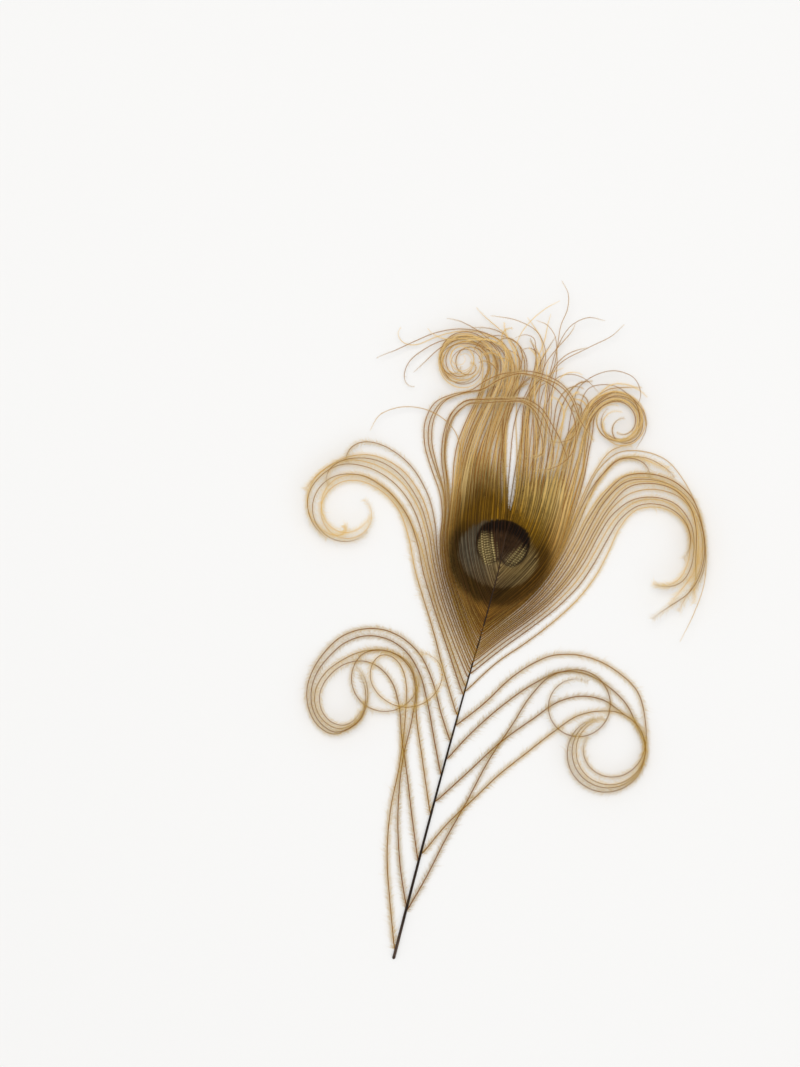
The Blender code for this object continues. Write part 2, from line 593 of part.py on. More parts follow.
def build():
    clear_scene()
    parts = make_collection("peacock_feather")
    profiles = make_collection("profiles")
    joined = make_collection("joined_pieces")
    feather = make_vane(parts)
    feather.name = "feather"
    feather.data.materials.append(barb_material())
    ridged = make_profile("ridged", [(0.5, 0.0), (0.0, LOCK_FLATNESS), (-0.5, 0.0)], profiles)
    side = 0.5 * LOOSE_FLATNESS
    stout = make_profile("stout", [(0.5, 0.0), (0.0, side), (-0.5, 0.0), (0.0, -side)], profiles)
    for name, group in GROUPS.items():
        for number, lock in enumerate(group, 1):
            profile = stout if lock.kind in ROUND_KINDS else ridged
            make_lock(f"{name}_{number}", lock, number % SHINGLES, profile, joined)
    make_shaft(joined)
    join_all(feather, joined)


build()
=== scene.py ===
"""The looks of a loose peacock eye feather, which follow its solid.

Every barb is laid out on the part's plan: x to the right and y up the shaft from the cut end of the
quill, in millimetres. The guides below are those of the solid. The barbs between them are drawn by rule.
"""

import math
from collections import namedtuple

import bpy
import numpy as np
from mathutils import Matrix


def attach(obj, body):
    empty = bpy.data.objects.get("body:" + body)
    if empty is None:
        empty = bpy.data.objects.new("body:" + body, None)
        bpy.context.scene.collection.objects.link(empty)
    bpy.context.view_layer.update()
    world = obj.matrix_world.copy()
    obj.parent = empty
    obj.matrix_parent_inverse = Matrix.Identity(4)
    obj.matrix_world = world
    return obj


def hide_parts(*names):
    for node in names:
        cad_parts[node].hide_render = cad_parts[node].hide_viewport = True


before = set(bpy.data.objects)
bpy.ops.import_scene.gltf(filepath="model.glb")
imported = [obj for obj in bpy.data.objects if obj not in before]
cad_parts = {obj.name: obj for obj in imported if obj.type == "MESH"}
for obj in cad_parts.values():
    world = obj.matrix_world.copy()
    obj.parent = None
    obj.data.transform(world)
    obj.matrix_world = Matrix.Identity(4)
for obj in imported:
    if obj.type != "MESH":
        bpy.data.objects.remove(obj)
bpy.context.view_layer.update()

MM = 0.001

# The part's origin on the plan, and the way between two points of a line, in millimetres
PLAN_CENTRE = (0.0, 84.2)
STEP = 0.25

# The first points of a smooth line for each given one, and the degrees between two of a curl
FINE_STEPS = 60
CURL_STEP = 20.0

Guide = namedtuple("Guide", "kind lift line")


def smooth_line(points):
    """A smooth line through the points, as points STEP apart."""
    points = np.asarray(points, float)
    gaps = np.linalg.norm(np.diff(points, axis=0), axis=1)[:, None]
    ways = np.diff(points, axis=0) / gaps
    inner = (ways[:-1] * gaps[1:] + ways[1:] * gaps[:-1]) / (gaps[:-1] + gaps[1:])
    slopes = np.vstack([ways[:1], inner, ways[-1:]])
    t = np.linspace(0.0, 1.0, FINE_STEPS, endpoint=False)[None, :, None]
    a, b = points[:-1, None], points[1:, None]
    slope_a, slope_b = (slopes[:-1] * gaps)[:, None], (slopes[1:] * gaps)[:, None]
    fine = (
        (2 * t**3 - 3 * t**2 + 1) * a
        + (t**3 - 2 * t**2 + t) * slope_a
        + (3 * t**2 - 2 * t**3) * b
        + (t**3 - t**2) * slope_b
    )
    line = np.vstack([fine.reshape(-1, 2), points[-1:]])
    gone = np.concatenate([[0.0], np.cumsum(np.linalg.norm(np.diff(line, axis=0), axis=1))])
    at = np.arange(0.0, gone[-1], STEP)
    return np.column_stack([np.interp(at, gone, line[:, k]) for k in range(2)])


def curl_points(start, centre, turn, last_radius):
    """Points along a spiral about centre, from start on. A positive turn runs anticlockwise."""
    arm = np.subtract(start, centre)
    radius = math.hypot(*arm)
    count = round(abs(turn) / CURL_STEP)
    share = np.arange(1, count + 1) / count
    angle = math.atan2(arm[1], arm[0]) + math.radians(turn) * share
    radii = radius + (last_radius - radius) * share
    places = np.column_stack([centre[0] + radii * np.cos(angle), centre[1] + radii * np.sin(angle)])
    return [tuple(place) for place in places]


def strand(kind, lift, points, curl=None):
    """A guide: the way of one lock or barb over the plan, from its root on the shaft."""
    if curl:
        points = points + curl_points(points[-1], *curl)
    return Guide(kind, lift, smooth_line(points))


def strands(kind, ways):
    """Guides of one kind, each from its lift, points and perhaps a curl."""
    return [strand(kind, *way) for way in ways]


# The shaft's bends, over the plan
SHAFT_LINE = [(0, 0), (-0.1, 25), (0, 50), (0.3, 70), (0.7, 86), (0.7, 98), (0.2, 107)]

# Loose barbs low on the right, which circle clockwise
RIGHT_LOW = strands("loose", [
    (5.0, [
        (0, 11.5), (2.6, 21), (4.8, 31), (7.4, 41), (10.3, 53), (13.4, 62), (16.2, 70.5), (19.3, 75.7),
        (23, 78.1),
    ], ((27.2, 70.6), -400, 6.3)),
    (6.0, [
        (0.1, 26), (4.5, 35.3), (8.9, 42.3), (13.2, 49.3), (18.6, 56.5), (23.5, 62.9), (28.5, 68.4),
        (34, 70.9),
    ], ((37.3, 62.3), -360, 7.7)),
    (4.6, [
        (0, 39), (6, 48.3), (12, 57.6), (18, 64.8), (23, 70.4), (28, 73), (33.5, 73.3), (38.5, 71.4),
    ], ((37.0, 61.9), -330, 8.2)),
    (3.2, [
        (0, 49.5), (4, 57), (10, 66), (16, 73), (21, 77.1), (27, 78.4), (33, 77), (38.5, 74), (43, 68.8),
    ], ((36.6, 61.2), -290, 8.8)),
    (2.2, [
        (0, 58), (5.4, 65.1), (10.6, 73.3), (14.5, 77.6), (18.1, 80.4), (23, 82.1), (29, 82.3),
        (35, 80.7), (40.5, 77.5), (44, 71.5), (45.7, 64),
    ], ((37.0, 63.0), -200, 5.5)),
])

# Loose barbs low on the left, which circle the other way
LEFT_LOW = strands("loose", [
    (5.4, [
        (-0.2, 2), (-4.6, 14), (-7.5, 22.7), (-9.85, 35), (-10.4, 45.2), (-12.1, 57.5), (-13.8, 64.9),
        (-15.1, 67.6), (-17.2, 69.8), (-19.6, 70.7), (-21.6, 70.2), (-22.8, 68.3), (-23, 65.9),
        (-22.2, 63.6), (-20.3, 61.5), (-17.7, 60.1), (-14.5, 59.5), (-11.8, 60), (-9.2, 61.4),
        (-7.2, 63.7), (-6, 66.9), (-6.2, 69.9), (-7.7, 72.2), (-10.2, 73.4), (-12.9, 73.6),
    ]),
    (3.0, [
        (0, 12.5), (-4.6, 23.5), (-8.1, 35.4), (-10, 47), (-10.4, 58), (-11.2, 64), (-13.6, 68.7),
        (-17.5, 71.2), (-22, 71.4), (-26, 69.2),
    ], ((-19.5, 65.3), 230, 8.6)),
    (4.2, [
        (-0.1, 24), (-4.2, 34), (-8.3, 44.4), (-11.8, 52.8), (-14.4, 60), (-17.2, 64.5), (-20.3, 66.9),
        (-24.5, 67.9), (-29, 66.3), (-32.2, 62.5), (-33.4, 58), (-32, 54), (-29, 51.8), (-26, 51.8),
        (-23.8, 53.6), (-22.8, 56.5),
    ]),
    (2.4, [
        (0, 35.5), (-5.4, 48.3), (-9.9, 59.4), (-11.6, 66), (-14.5, 70), (-20, 71.6), (-26, 70),
        (-30.5, 66.5), (-33.5, 62.5), (-34.6, 58), (-33.3, 53.8), (-30.3, 51.2), (-27, 50.6), (-24, 52.4),
        (-22.4, 55.5), (-22.5, 59),
    ]),
    (5.8, [
        (0, 45.5), (-4, 54), (-8, 62.5), (-11.5, 68.5), (-16, 72.7), (-21, 74.4), (-26, 73.9),
        (-30.6, 71), (-33.4, 67), (-35.3, 62.5), (-35.6, 58), (-34, 53.5), (-31, 50.6), (-27.5, 49.7),
        (-24.4, 51.6), (-22.4, 54.6), (-22.2, 58.3), (-23.3, 62), (-25.5, 65),
    ]),
    (3.6, [
        (0.1, 54), (-4, 60.5), (-8, 67.5), (-12.5, 72.8), (-18, 75.7), (-23, 76.3), (-27.8, 75),
        (-31.8, 72.2), (-34.6, 68), (-36.4, 63), (-36.7, 58), (-35, 53.3), (-31.8, 50), (-28, 49),
        (-24.8, 50.9), (-22.4, 54), (-21.8, 57.5), (-22.5, 61.5), (-24.4, 64.6), (-26.6, 66.2),
    ]),
])

# The lock that arches out on the right beside the eye, from its lowest barb to its highest
RIGHT_ARCH = strands("plume", [
    (3.0, [
        (0.2, 66.5), (6, 75.6), (12, 82.5), (17, 89), (21, 95.3), (23.8, 102), (25.3, 108.5),
        (26.5, 114.5), (29.5, 119.6), (34.5, 121.3), (39.5, 120), (43, 116.6), (44.7, 112), (44.4, 107.5),
        (42.5, 104), (39.5, 102),
    ]),
    (4.0, [
        (0.3, 71), (6, 78.7), (12, 86), (17, 92.6), (20.5, 98.7), (22.7, 105), (24.2, 111), (26.2, 117),
        (29.7, 121.1), (35, 122.4), (40.5, 120.6), (44, 116.2), (45.4, 111), (45, 106.5), (43.5, 102.5),
        (42.8, 99.2),
    ]),
    (5.0, [
        (0.3, 74), (6, 81.5), (11, 87.5), (15.5, 93.8), (18.6, 99.7), (20.6, 105.5), (22, 111.5),
        (23.8, 117.3), (27.4, 122.2), (32.5, 124.3), (38, 123.9), (42.6, 120.4), (45.3, 115), (45.9, 110),
        (44.5, 105.5), (41.5, 102.6), (37.5, 101),
    ]),
    (6.0, [
        (0.4, 76), (5.5, 82.8), (10.5, 89), (14.5, 95), (17.2, 101), (18.9, 107), (20.2, 113),
        (22.2, 119.5), (26, 125.2), (31, 127), (36.5, 126.8), (41.3, 124), (44.7, 118.8), (46.3, 113),
        (46, 108), (44.3, 104.3), (41.3, 101.5), (38, 99.2), (35, 97.8),
    ]),
    (4.5, [
        (0.5, 78), (5, 84), (9.5, 89.8), (13, 95.8), (15.4, 102), (17.2, 108.5), (18.6, 115),
        (20.8, 121.5), (24.7, 126.8), (30, 128.4), (35.5, 128), (40.3, 125.6), (44.3, 120.7),
        (46.7, 114.5), (46.8, 109), (45, 104), (42, 100), (38.5, 95.2), (36, 91),
    ]),
    (3.0, [
        (0.5, 80.5), (4.5, 86), (8.6, 91.8), (11.7, 97.8), (13.8, 104), (15.2, 110.5), (16.4, 118),
        (18.3, 125.5), (21.5, 131), (27, 132.4), (32, 130.6), (36, 127.8),
    ]),
])

# The lock beside the eye on the left, which curls outwards
LEFT_ARCH = [
    strand("loose", 3.0, [
        (0.1, 60.5), (-6, 70.5), (-11, 79.5), (-15, 86), (-18.5, 92), (-22, 99), (-26.5, 104.8),
        (-32, 107.8), (-37.5, 108.3),
    ], ((-36.8, 101.6), 330, 5.0)),
    strand("loose", 4.5, [
        (0.2, 65.7), (-6, 75.3), (-12, 84.5), (-16.5, 92), (-20, 98.5), (-25, 105), (-31, 109.2),
        (-37.5, 110.5), (-43, 108),
    ], ((-38.0, 102.5), 260, 5.5)),
    strand("plume", 5.5, [
        (0.3, 70), (-6, 78.5), (-11.5, 86.5), (-15.5, 93.5), (-18.7, 100), (-23, 106.5), (-29, 111.3),
        (-36, 113.3), (-42.5, 112.2), (-46.8, 107.5),
    ], ((-39.8, 103.0), 240, 6.0)),
    strand("plume", 3.5, [
        (0.4, 73), (-5.5, 81), (-10.5, 88.5), (-14.5, 96), (-17.5, 103), (-22, 110), (-28.5, 115),
        (-36, 116.3), (-43, 114), (-47.5, 109.5), (-49, 104), (-48.3, 98),
    ]),
]

# Barbs from the left edge of the vane, which sweep over the plume to the right
SWEEPS = strands("sweep", [
    (6.5, [
        (0.5, 75.5), (-4, 81.5), (-8, 87.5), (-11.9, 94), (-14.4, 101), (-15.4, 107), (-17.2, 112),
        (-20.5, 117.5), (-23.3, 123), (-24.2, 128.5), (-22.8, 133.3), (-19, 136.4), (-14.5, 138.7),
        (-11.3, 142), (-7.3, 144.9), (-1.5, 145.9), (4.5, 144.9), (9, 141.8), (11.8, 137), (11.8, 132.5),
        (8.5, 129.3), (4, 128.2), (-0.5, 128),
    ]),
    (5.0, [
        (0.5, 77), (-3.8, 82.7), (-7.8, 88.7), (-11.4, 95), (-13.8, 101.5), (-14.9, 108), (-16.5, 114),
        (-19, 120), (-20.3, 126), (-20, 131), (-17.5, 134.8), (-13, 136.5), (-8, 138), (-3, 139),
        (1.5, 137.6), (5, 133.8), (7.7, 129), (8.5, 125), (6.8, 122.3), (3.5, 120.8),
    ]),
])

# Locks of the plume over the left half of the eye, from the vane's edge to the split
LEFT_PLUME = [
    strand("spiral", 4.0, [
        (0.6, 79.5), (-3.5, 84.5), (-7, 89.5), (-10.5, 95), (-12.8, 101), (-13.8, 107), (-14.6, 113),
        (-15.4, 119), (-15.8, 125), (-15.2, 131), (-14.2, 136), (-13.8, 141),
    ], ((-20.0, 143.3), 560, 1.8)),
    strand("spiral", 2.5, [
        (0.6, 82.5), (-3.2, 86.6), (-6.5, 91.8), (-9.8, 97.3), (-11.9, 103.3), (-12.9, 109.5),
        (-13.7, 115.5), (-14.1, 121.5), (-13.9, 127.5), (-13, 133.5), (-12, 139.5), (-12, 144),
        (-14.2, 147.8), (-18, 149.3),
    ], ((-20.4, 143.8), 420, 2.4)),
    strand("crest", 5.2, [
        (0.7, 85.5), (-2.8, 89.5), (-6, 94.3), (-8.9, 99.8), (-10.7, 105.5), (-11.7, 111.5),
        (-12.5, 117.5), (-12.8, 123.5), (-12.4, 129.5), (-11.3, 135.5), (-10.3, 141), (-10.5, 145.7),
        (-12.8, 149.1), (-17.2, 150.6), (-22.5, 149.6), (-27, 146.8), (-30.8, 143.3), (-33.8, 141.3),
        (-35, 138.3), (-34.8, 135.5),
    ]),
    strand("crest", 3.2, [
        (0.8, 88.5), (-2.3, 92.3), (-5.1, 97), (-7.4, 102.2), (-8.9, 107.8), (-9.9, 113.5),
        (-10.8, 119.5), (-11.1, 125.5), (-10.6, 131.5), (-9.6, 137.5), (-8.9, 142.5), (-9.3, 147),
        (-12.2, 150.2), (-17, 151.2), (-22.5, 150.3), (-27.5, 147.7), (-32, 144), (-36, 140.8),
        (-40, 138.5), (-43.5, 135.7), (-45.8, 132.3), (-46.5, 129),
    ]),
    strand("vane", 4.6, [
        (0.8, 91.5), (-1.8, 95.3), (-4.2, 99.6), (-6, 104.5), (-7.1, 109.8), (-7.9, 115.5), (-8.8, 121.5),
        (-9.2, 127.5), (-8.8, 133.5), (-8, 139.5), (-7.6, 144.5), (-8.9, 148.6), (-12.4, 151.2),
        (-17.5, 152), (-22.3, 151.5), (-25.8, 150.3),
    ]),
    strand("crest", 2.8, [
        (0.8, 95), (-1.1, 98.8), (-3, 102.8), (-4.4, 107.3), (-5.2, 112), (-6, 117.5), (-6.8, 123),
        (-7.3, 129), (-7.3, 135), (-6.9, 140.5), (-6.6, 145.2), (-8, 148.6), (-11.4, 151), (-16, 151.6),
        (-20.5, 150.6), (-24.8, 148), (-29.3, 145.6),
    ]),
    strand("vane", 2.0, [
        (0.6, 100), (-0.5, 103.3), (-1.5, 107.5), (-2.1, 111.5), (-3, 116.5), (-4.4, 121.5), (-5.6, 127),
        (-6.4, 132.5), (-6.3, 138), (-5.6, 143), (-6.3, 147), (-9, 149.9), (-13, 150.5),
    ]),
    strand("vane", 2.0, [
        (0.5, 102.5), (0.1, 105.5), (-0.6, 109), (-1.3, 113), (-2.5, 117), (-4.2, 121.5), (-5.7, 127),
        (-6.6, 132.5), (-6.5, 138), (-5.4, 143), (-6, 147.5), (-8.5, 150.8),
    ]),
]

# Locks of the plume over the right half of the eye, from the vane's edge to the split
RIGHT_PLUME = [
    strand("spiral", 3.5, [
        (0.6, 83), (4, 87.2), (8, 92), (11.4, 97.2), (13.5, 102.8), (14.2, 108.2), (14.3, 113.8),
        (14.6, 119.5), (14.6, 125.5), (13.8, 131.3), (13, 136),
    ], ((19.4, 139.2), -480, 4.2)),
    strand("spiral", 5.0, [
        (0.7, 86), (4, 90.3), (7.4, 95), (10.2, 100), (11.9, 105.2), (12.4, 110.5), (12.4, 116),
        (12.5, 122), (12.3, 128), (12.1, 134), (12.9, 139.5), (15, 142.8), (18, 144.6),
    ], ((19.3, 139.3), -420, 3.0)),
    strand("spiral", 4.2, [
        (0.8, 89), (3.6, 93.3), (6.6, 98), (8.9, 103), (10.1, 108.2), (10.4, 113.5), (10.4, 119),
        (10.4, 125), (10.2, 131), (10.8, 137), (13, 142.6), (17, 146.4), (21.2, 145.9), (24.8, 142.4),
        (26.1, 138), (25.2, 133.7),
    ]),
    strand("vane", 2.5, [
        (0.8, 92), (3.2, 96), (5.7, 100.3), (7.6, 105), (8.4, 110), (8.6, 115.5), (8.6, 121), (8.5, 127),
        (8.8, 132.3), (10.6, 136.5), (11.3, 139.4),
    ], ((8.8, 139.5), 330, 1.9)),
    strand("vane", 3.2, [
        (0.8, 95), (2.8, 98.8), (4.8, 102.8), (6.1, 107.2), (6.6, 112), (6.7, 117.5), (6.4, 123),
        (5.8, 129), (5, 135), (4.3, 140.5), (5, 145), (7.6, 147.3), (11, 146.8), (14, 144.5),
    ]),
    strand("crest", 5.5, [
        (0.7, 98), (2.3, 101.8), (3.8, 106), (4.5, 110.8), (4.5, 116.5), (3.9, 122.5), (3, 129),
        (1.6, 136), (0.8, 142.5), (1.3, 147.5), (3.6, 151), (8, 154.7), (12, 158.2), (15, 162.3),
    ]),
    strand("crest", 4.0, [
        (0.5, 101.5), (1.7, 105.3), (2.5, 110), (2.5, 115.5), (1.7, 121.5), (0.5, 128.5), (-1, 135.5),
        (-1.9, 142), (-1.2, 147.5), (0.6, 152.8), (2.3, 157.5), (5, 160.8), (10.5, 161.6),
    ]),
    strand("crest", 3.0, [
        (0.3, 104.5), (0.9, 108.5), (1.2, 113.5), (0.8, 119), (-0.1, 125.5), (-1.3, 132), (-2.2, 139),
        (-1.8, 145), (-2.2, 150.3), (-4.2, 154.4), (-8, 156.2), (-12.5, 156.2), (-17, 155.8),
    ]),
    strand("vane", 3.5, [
        (0.2, 106.6), (0.3, 109.5), (0.2, 113.5), (-0.2, 118.5), (-1.2, 124.5), (-2.2, 131), (-3, 138),
        (-2.6, 144.5), (-3.7, 149.5), (-6.2, 153.2),
    ]),
]

# Thin single barbs. The solid has the first five, the next three coil in the left spiral, and the rest
# stand out at the top.
WISPS = strands("wisp", [
    (5.0, [
        (0.6, 81.5), (4.3, 87), (8.3, 92.6), (11.3, 98.5), (13.4, 104.8), (15, 112), (16.2, 119),
        (18, 127), (21.5, 132), (27, 133.8), (33, 133.2), (38, 129.8), (43, 124), (47.3, 115.5),
        (49.2, 107), (48.6, 99), (47, 91.5),
    ]),
    (6.0, [
        (0.6, 100), (2, 104), (3.1, 108.5), (3.5, 114), (2.9, 121), (1.8, 128), (0.6, 135), (0.2, 142),
        (1.2, 148), (0.7, 153), (0.2, 158), (0.7, 162), (0, 165.5), (-2.5, 168.4),
    ]),
    (7.0, [
        (0.3, 103.5), (0.7, 109), (0.3, 115), (-1, 121), (-2.5, 127), (-4.3, 133), (-5.6, 139),
        (-6.8, 144), (-8.8, 149), (-8.7, 153), (-6.5, 158), (-4, 161.2), (-1.5, 163.5),
    ]),
    (5.0, [
        (0.8, 91), (3.4, 95.2), (6.2, 99.8), (8.3, 104.5), (9.3, 110), (9.6, 119), (9.3, 126), (8.6, 133),
        (8, 140), (8.2, 144.5), (11, 148.3), (16, 150.8), (20.8, 149.9), (23, 146.3), (22.3, 142.5),
    ]),
    (4.0, [
        (0.6, 84), (-3, 88), (-6.3, 93), (-9.4, 98.5), (-11.4, 104.5), (-12.5, 110), (-13.6, 116),
        (-15, 122), (-18, 127), (-22.5, 129.6), (-28, 130.2), (-33, 128.8), (-36.5, 126), (-37.8, 121.7),
    ]),
    (5.0, [
        (0.6, 81), (-6.8, 90.5), (-11.4, 99), (-13.3, 108), (-14.6, 118), (-15.4, 127), (-14.6, 135),
        (-14.4, 141),
    ], ((-20.4, 143.9), 900, 1.2)),
    (5.6, [
        (0.7, 83), (-6, 92), (-10.8, 100.5), (-13, 110), (-14, 120), (-14.2, 130), (-14.4, 138.5),
        (-16, 145.5),
    ], ((-21.2, 144.2), 760, 0.9)),
    (4.6, [
        (0.7, 84.5), (-5.5, 93), (-10.2, 101.5), (-12.4, 111), (-13.4, 121), (-13.2, 131), (-12.8, 139),
        (-14, 145),
    ], ((-19.8, 143.0), 640, 2.6)),
    (5.5, [
        (0.2, 104), (-1.2, 112), (-3, 122), (-4.6, 134), (-3.2, 145), (-4.2, 151), (-5.4, 153.3),
        (-7.2, 153.6), (-10, 152),
    ]),
    (6.5, [
        (0.3, 105), (-0.6, 113), (-1.6, 123), (-2, 134), (-1, 145), (-2, 151.5), (-5, 155), (-10, 156.3),
        (-17, 155.8),
    ]),
    (7.0, [
        (0.5, 103), (1.8, 112), (2, 124), (1.6, 136), (2, 147), (1, 151), (-1, 155.5), (-3, 157),
        (-6, 157.5),
    ]),
    (4.5, [
        (0.6, 101), (3.2, 110), (4, 122), (3, 135), (2, 148.5), (8, 154.5), (13, 159), (15, 162.3),
    ]),
    (6.0, [
        (0.4, 102), (2.2, 111), (2.8, 122), (1.8, 134), (0.6, 147), (0.8, 153), (3, 159), (6, 161.3),
        (10.5, 161.6),
    ]),
    (5.0, [
        (0.7, 96), (4.4, 103), (6, 112), (5.6, 124), (3.6, 136), (3, 146), (5.5, 147.2), (8, 147.2),
        (11, 146), (13, 144.5),
    ]),
    (6.0, [
        (0.8, 90), (5.4, 97), (9.2, 105), (10.2, 116), (10, 128), (9.6, 138), (11, 145.5), (14, 146.9),
        (17, 147.1), (20, 146), (23, 144.3), (25.3, 142), (26.2, 139), (25, 133.5),
    ]),
])

# The edge inside which the barbs hook together into one surface
WEB_EDGE = [
    (0.6, 79.5), (4, 84), (8, 88.5), (11.5, 93), (14.2, 99), (15.5, 106), (15.4, 113), (14.8, 119),
    (12, 123.5), (8, 124.5), (4, 123.5), (1.2, 119.5), (-1.1, 114.5), (-3.8, 119.5), (-6.5, 125),
    (-10.5, 127), (-14.5, 124), (-15.6, 117), (-15, 109), (-14.3, 102.5), (-12.8, 97), (-10, 92.5),
    (-6.5, 88), (-3, 84),
]

# A barb's height over the surface, from which share of its way it lifts, and how much of that is early
LYING = 0.42
LIFT_FROM = 0.42
EARLY_LIFT = 0.2

# How far the vane arches up, its half width, where that starts and ends, and its reach
CROWN = 0.4
CROWN_HALF_WIDTH = 15.5
CROWN_FOOT = (76.0, 92.0)
CROWN_TOP = (118.0, 135.0)
CROWN_REACH = 8.0

# Over how far the web closes inside its edge, and where on the plan it ends and narrows
WEB_FADE = 4.0
WEB_SPREAD = 0.6
WEB_TOP = (113.0, 129.0)
WEB_TOP_SPREAD = 4.0
WEB_FOOT = (82.0, 92.0)
WEB_FOOT_SHARE = 0.85

# The small bend where a barb leaves the shaft, and the taper of its tip
HOOK = 0.4
HOOK_LENGTH = 0.6
TAPER_FROM = 0.93
TAPER = 0.75

# The kinds of barb: the stem's width at root and tip, the barbules' length there and half their width,
# its height over the plume, between which heights on the plan it gathers into a lock, its length as
# shares of its guide's, and how far it bends and its tip hooks, in radians
Kind = namedtuple("Kind", "stem fuzz fine over gather lengths bend hook", defaults=[None] * 4)
KINDS = {
    "loose": Kind((0.22, 0.14), (1.5, 1.2), 0.025, 0.0, (80.0, 105.0), (0.84, 1.01), 0.4, 0.5),
    "plume": Kind((0.2, 0.16), (0.68, 1.3), 0.025, 0.0, (108.0, 124.0), (0.84, 1.0), 0.2, 0.6),
    "sweep": Kind((0.2, 0.16), (0.85, 0.8), 0.025, 1.6, (92.0, 112.0), (0.86, 1.0), 0.4, 0.5),
    "spiral": Kind((0.22, 0.15), (0.85, 0.55), 0.022, 0.0, (114.0, 130.0), (0.86, 1.0), 0.4, 0.3),
    "crest": Kind((0.24, 0.12), (0.9, 0.35), 0.02, 0.0, (112.0, 132.0), (0.66, 0.93), 0.4, 1.6),
    "vane": Kind((0.25, 0.15), (0.9, 0.45), 0.034, 0.0, (112.0, 127.0), (0.76, 0.97), 0.4, 1.3),
    "wisp": Kind((0.18, 0.1), (0.5, 0.3), 0.02, 0.0),
}

# The width of a web on either side of its stem, and the gap between two barbules
WEB_WIDTH = 0.42
BARBULE_GAP = 0.08

# The bare stretch at a barb's root and tip, and the spread of the barbules' places, in gaps
BARE_ROOT = 0.4
BARE_TIP = 0.2
PLACE_SPREAD = 0.4

# The share of barbules that are long, and how many times longer they are
LONG_SHARE = 0.06
LONGER = 1.7

# The spread of the barbules' sizes, their lean in degrees, and their rise
BARBULE_SIZES = (0.65, 1.25)
LEAN = 50.0
LEAN_SPREAD = 11.0
RISE_SPREAD = 0.2

# Beside a web of this share of its full width, barbules are shorter and dip
HELD_FROM = 0.4
HELD_SHORTER = 0.1
HELD_DIP = 0.15

# Where in its stem a barbule starts, the spread of its foot's width, and the least height
FOOT_OUT = 0.3
FOOT_SIZES = (0.7, 1.3)
LOWEST = 0.05

# How closely a lock holds its barbs, and the least hold that counts
HOLD = 0.82
HELD_LEAST = 0.02

# How a lock draws in, how its barbs stray and ripple, and over which shares of their way
DRAW_IN = 0.35
DRAW_IN_SPAN = (0.3, 0.8)
STRAY_SPAN = (0.4, 0.95)
RIPPLE = 0.3
RIPPLE_SCALES = (5.0, 9.0)
PHASES = (0.0, 6.3)

# The stretch of a barb that sways and that of its hooked tip, and its waves, in radians
SWAYING = 26.0
HOOKED = 11.0
WAVE = 0.16
WAVE_SCALES = (2.5, 6.0)

# The spread of the barbs' lifts, of their heights in a lock, and of their roots, in gaps
LIFTS = (0.75, 1.05)
LAYERS = (-0.15, 0.4)
ROOT_SPREAD = 0.2

# Over which shares of its way a barb sweeps over the plume, and how dark it is then
OVER_FROM = (0.45, 0.62)
OVER_TO = (0.66, 0.9)
SWEEP_TONE = 0.75

Barb = namedtuple("Barb", "line height width web fuzz fine tone")


def smooth_step(value, low, high):
    t = np.clip((value - low) / (high - low), 0.0, 1.0)
    return t * t * (3.0 - 2.0 * t)


def along(line, at):
    """The line's places at the distances at from its root, going straight on past its end."""
    gone = np.arange(len(line)) * STEP
    places = np.column_stack([np.interp(at, gone, line[:, k]) for k in range(2)])
    way = line[-1] - line[-2]
    return places + np.clip(at - gone[-1], 0.0, None)[:, None] * way / np.hypot(*way)


def across(line):
    """Unit vectors to the right of the line's way."""
    way = np.gradient(line, axis=0)
    way /= np.linalg.norm(way, axis=1)[:, None]
    return np.column_stack([way[:, 1], -way[:, 0]])


def inside(points, edge):
    """How far the points lie inside a closed edge, in millimetres, and below zero outside it."""
    a = np.array(edge)
    b = np.roll(a, -1, axis=0)
    side = b - a
    to = points[:, None] - a
    share = np.clip((to * side).sum(2) / (side * side).sum(1), 0.0, 1.0)
    gap = np.linalg.norm(to - share[..., None] * side, axis=2).min(axis=1)
    y = points[:, None, 1]
    straddles = (a[:, 1] > y) != (b[:, 1] > y)
    x_there = a[:, 0] + (y - a[:, 1]) * side[:, 0] / np.where(side[:, 1] == 0.0, 1.0, side[:, 1])
    odd = (straddles & (points[:, None, 0] < x_there)).sum(axis=1) % 2 == 1
    return np.where(odd, gap, -gap)


def sway(line, rng, bend, hook):
    """The same line with its last stretch bent and waved at random, and its tip hooked."""
    steps = np.diff(line, axis=0)
    angle = np.arctan2(steps[:, 1], steps[:, 0])
    length = np.linalg.norm(steps, axis=1)[:, None]
    left = np.arange(len(steps), 0, -1) * STEP
    u = np.clip(1.0 - left / SWAYING, 0.0, 1.0)
    bent = angle + rng.normal(0.0, bend) * u * u
    ripple = rng.normal(0.0, WAVE) * u
    bent = bent + ripple * np.sin(left / rng.uniform(*WAVE_SCALES) + rng.uniform(*PHASES))
    bent = bent + rng.normal(0.0, hook) * np.clip(1.0 - left / HOOKED, 0.0, 1.0) ** 2
    moved = np.cumsum(length * np.column_stack([np.cos(bent), np.sin(bent)]), axis=0)
    return np.vstack([line[:1], line[0] + moved])


def crown(line):
    """How far the vane arches up from the surface."""
    rise = np.clip(1.0 - (line[:, 0] / CROWN_HALF_WIDTH) ** 2, 0.0, 1.0)
    y = line[:, 1]
    return CROWN * rise * smooth_step(y, *CROWN_FOOT) * (1.0 - smooth_step(y, *CROWN_TOP))


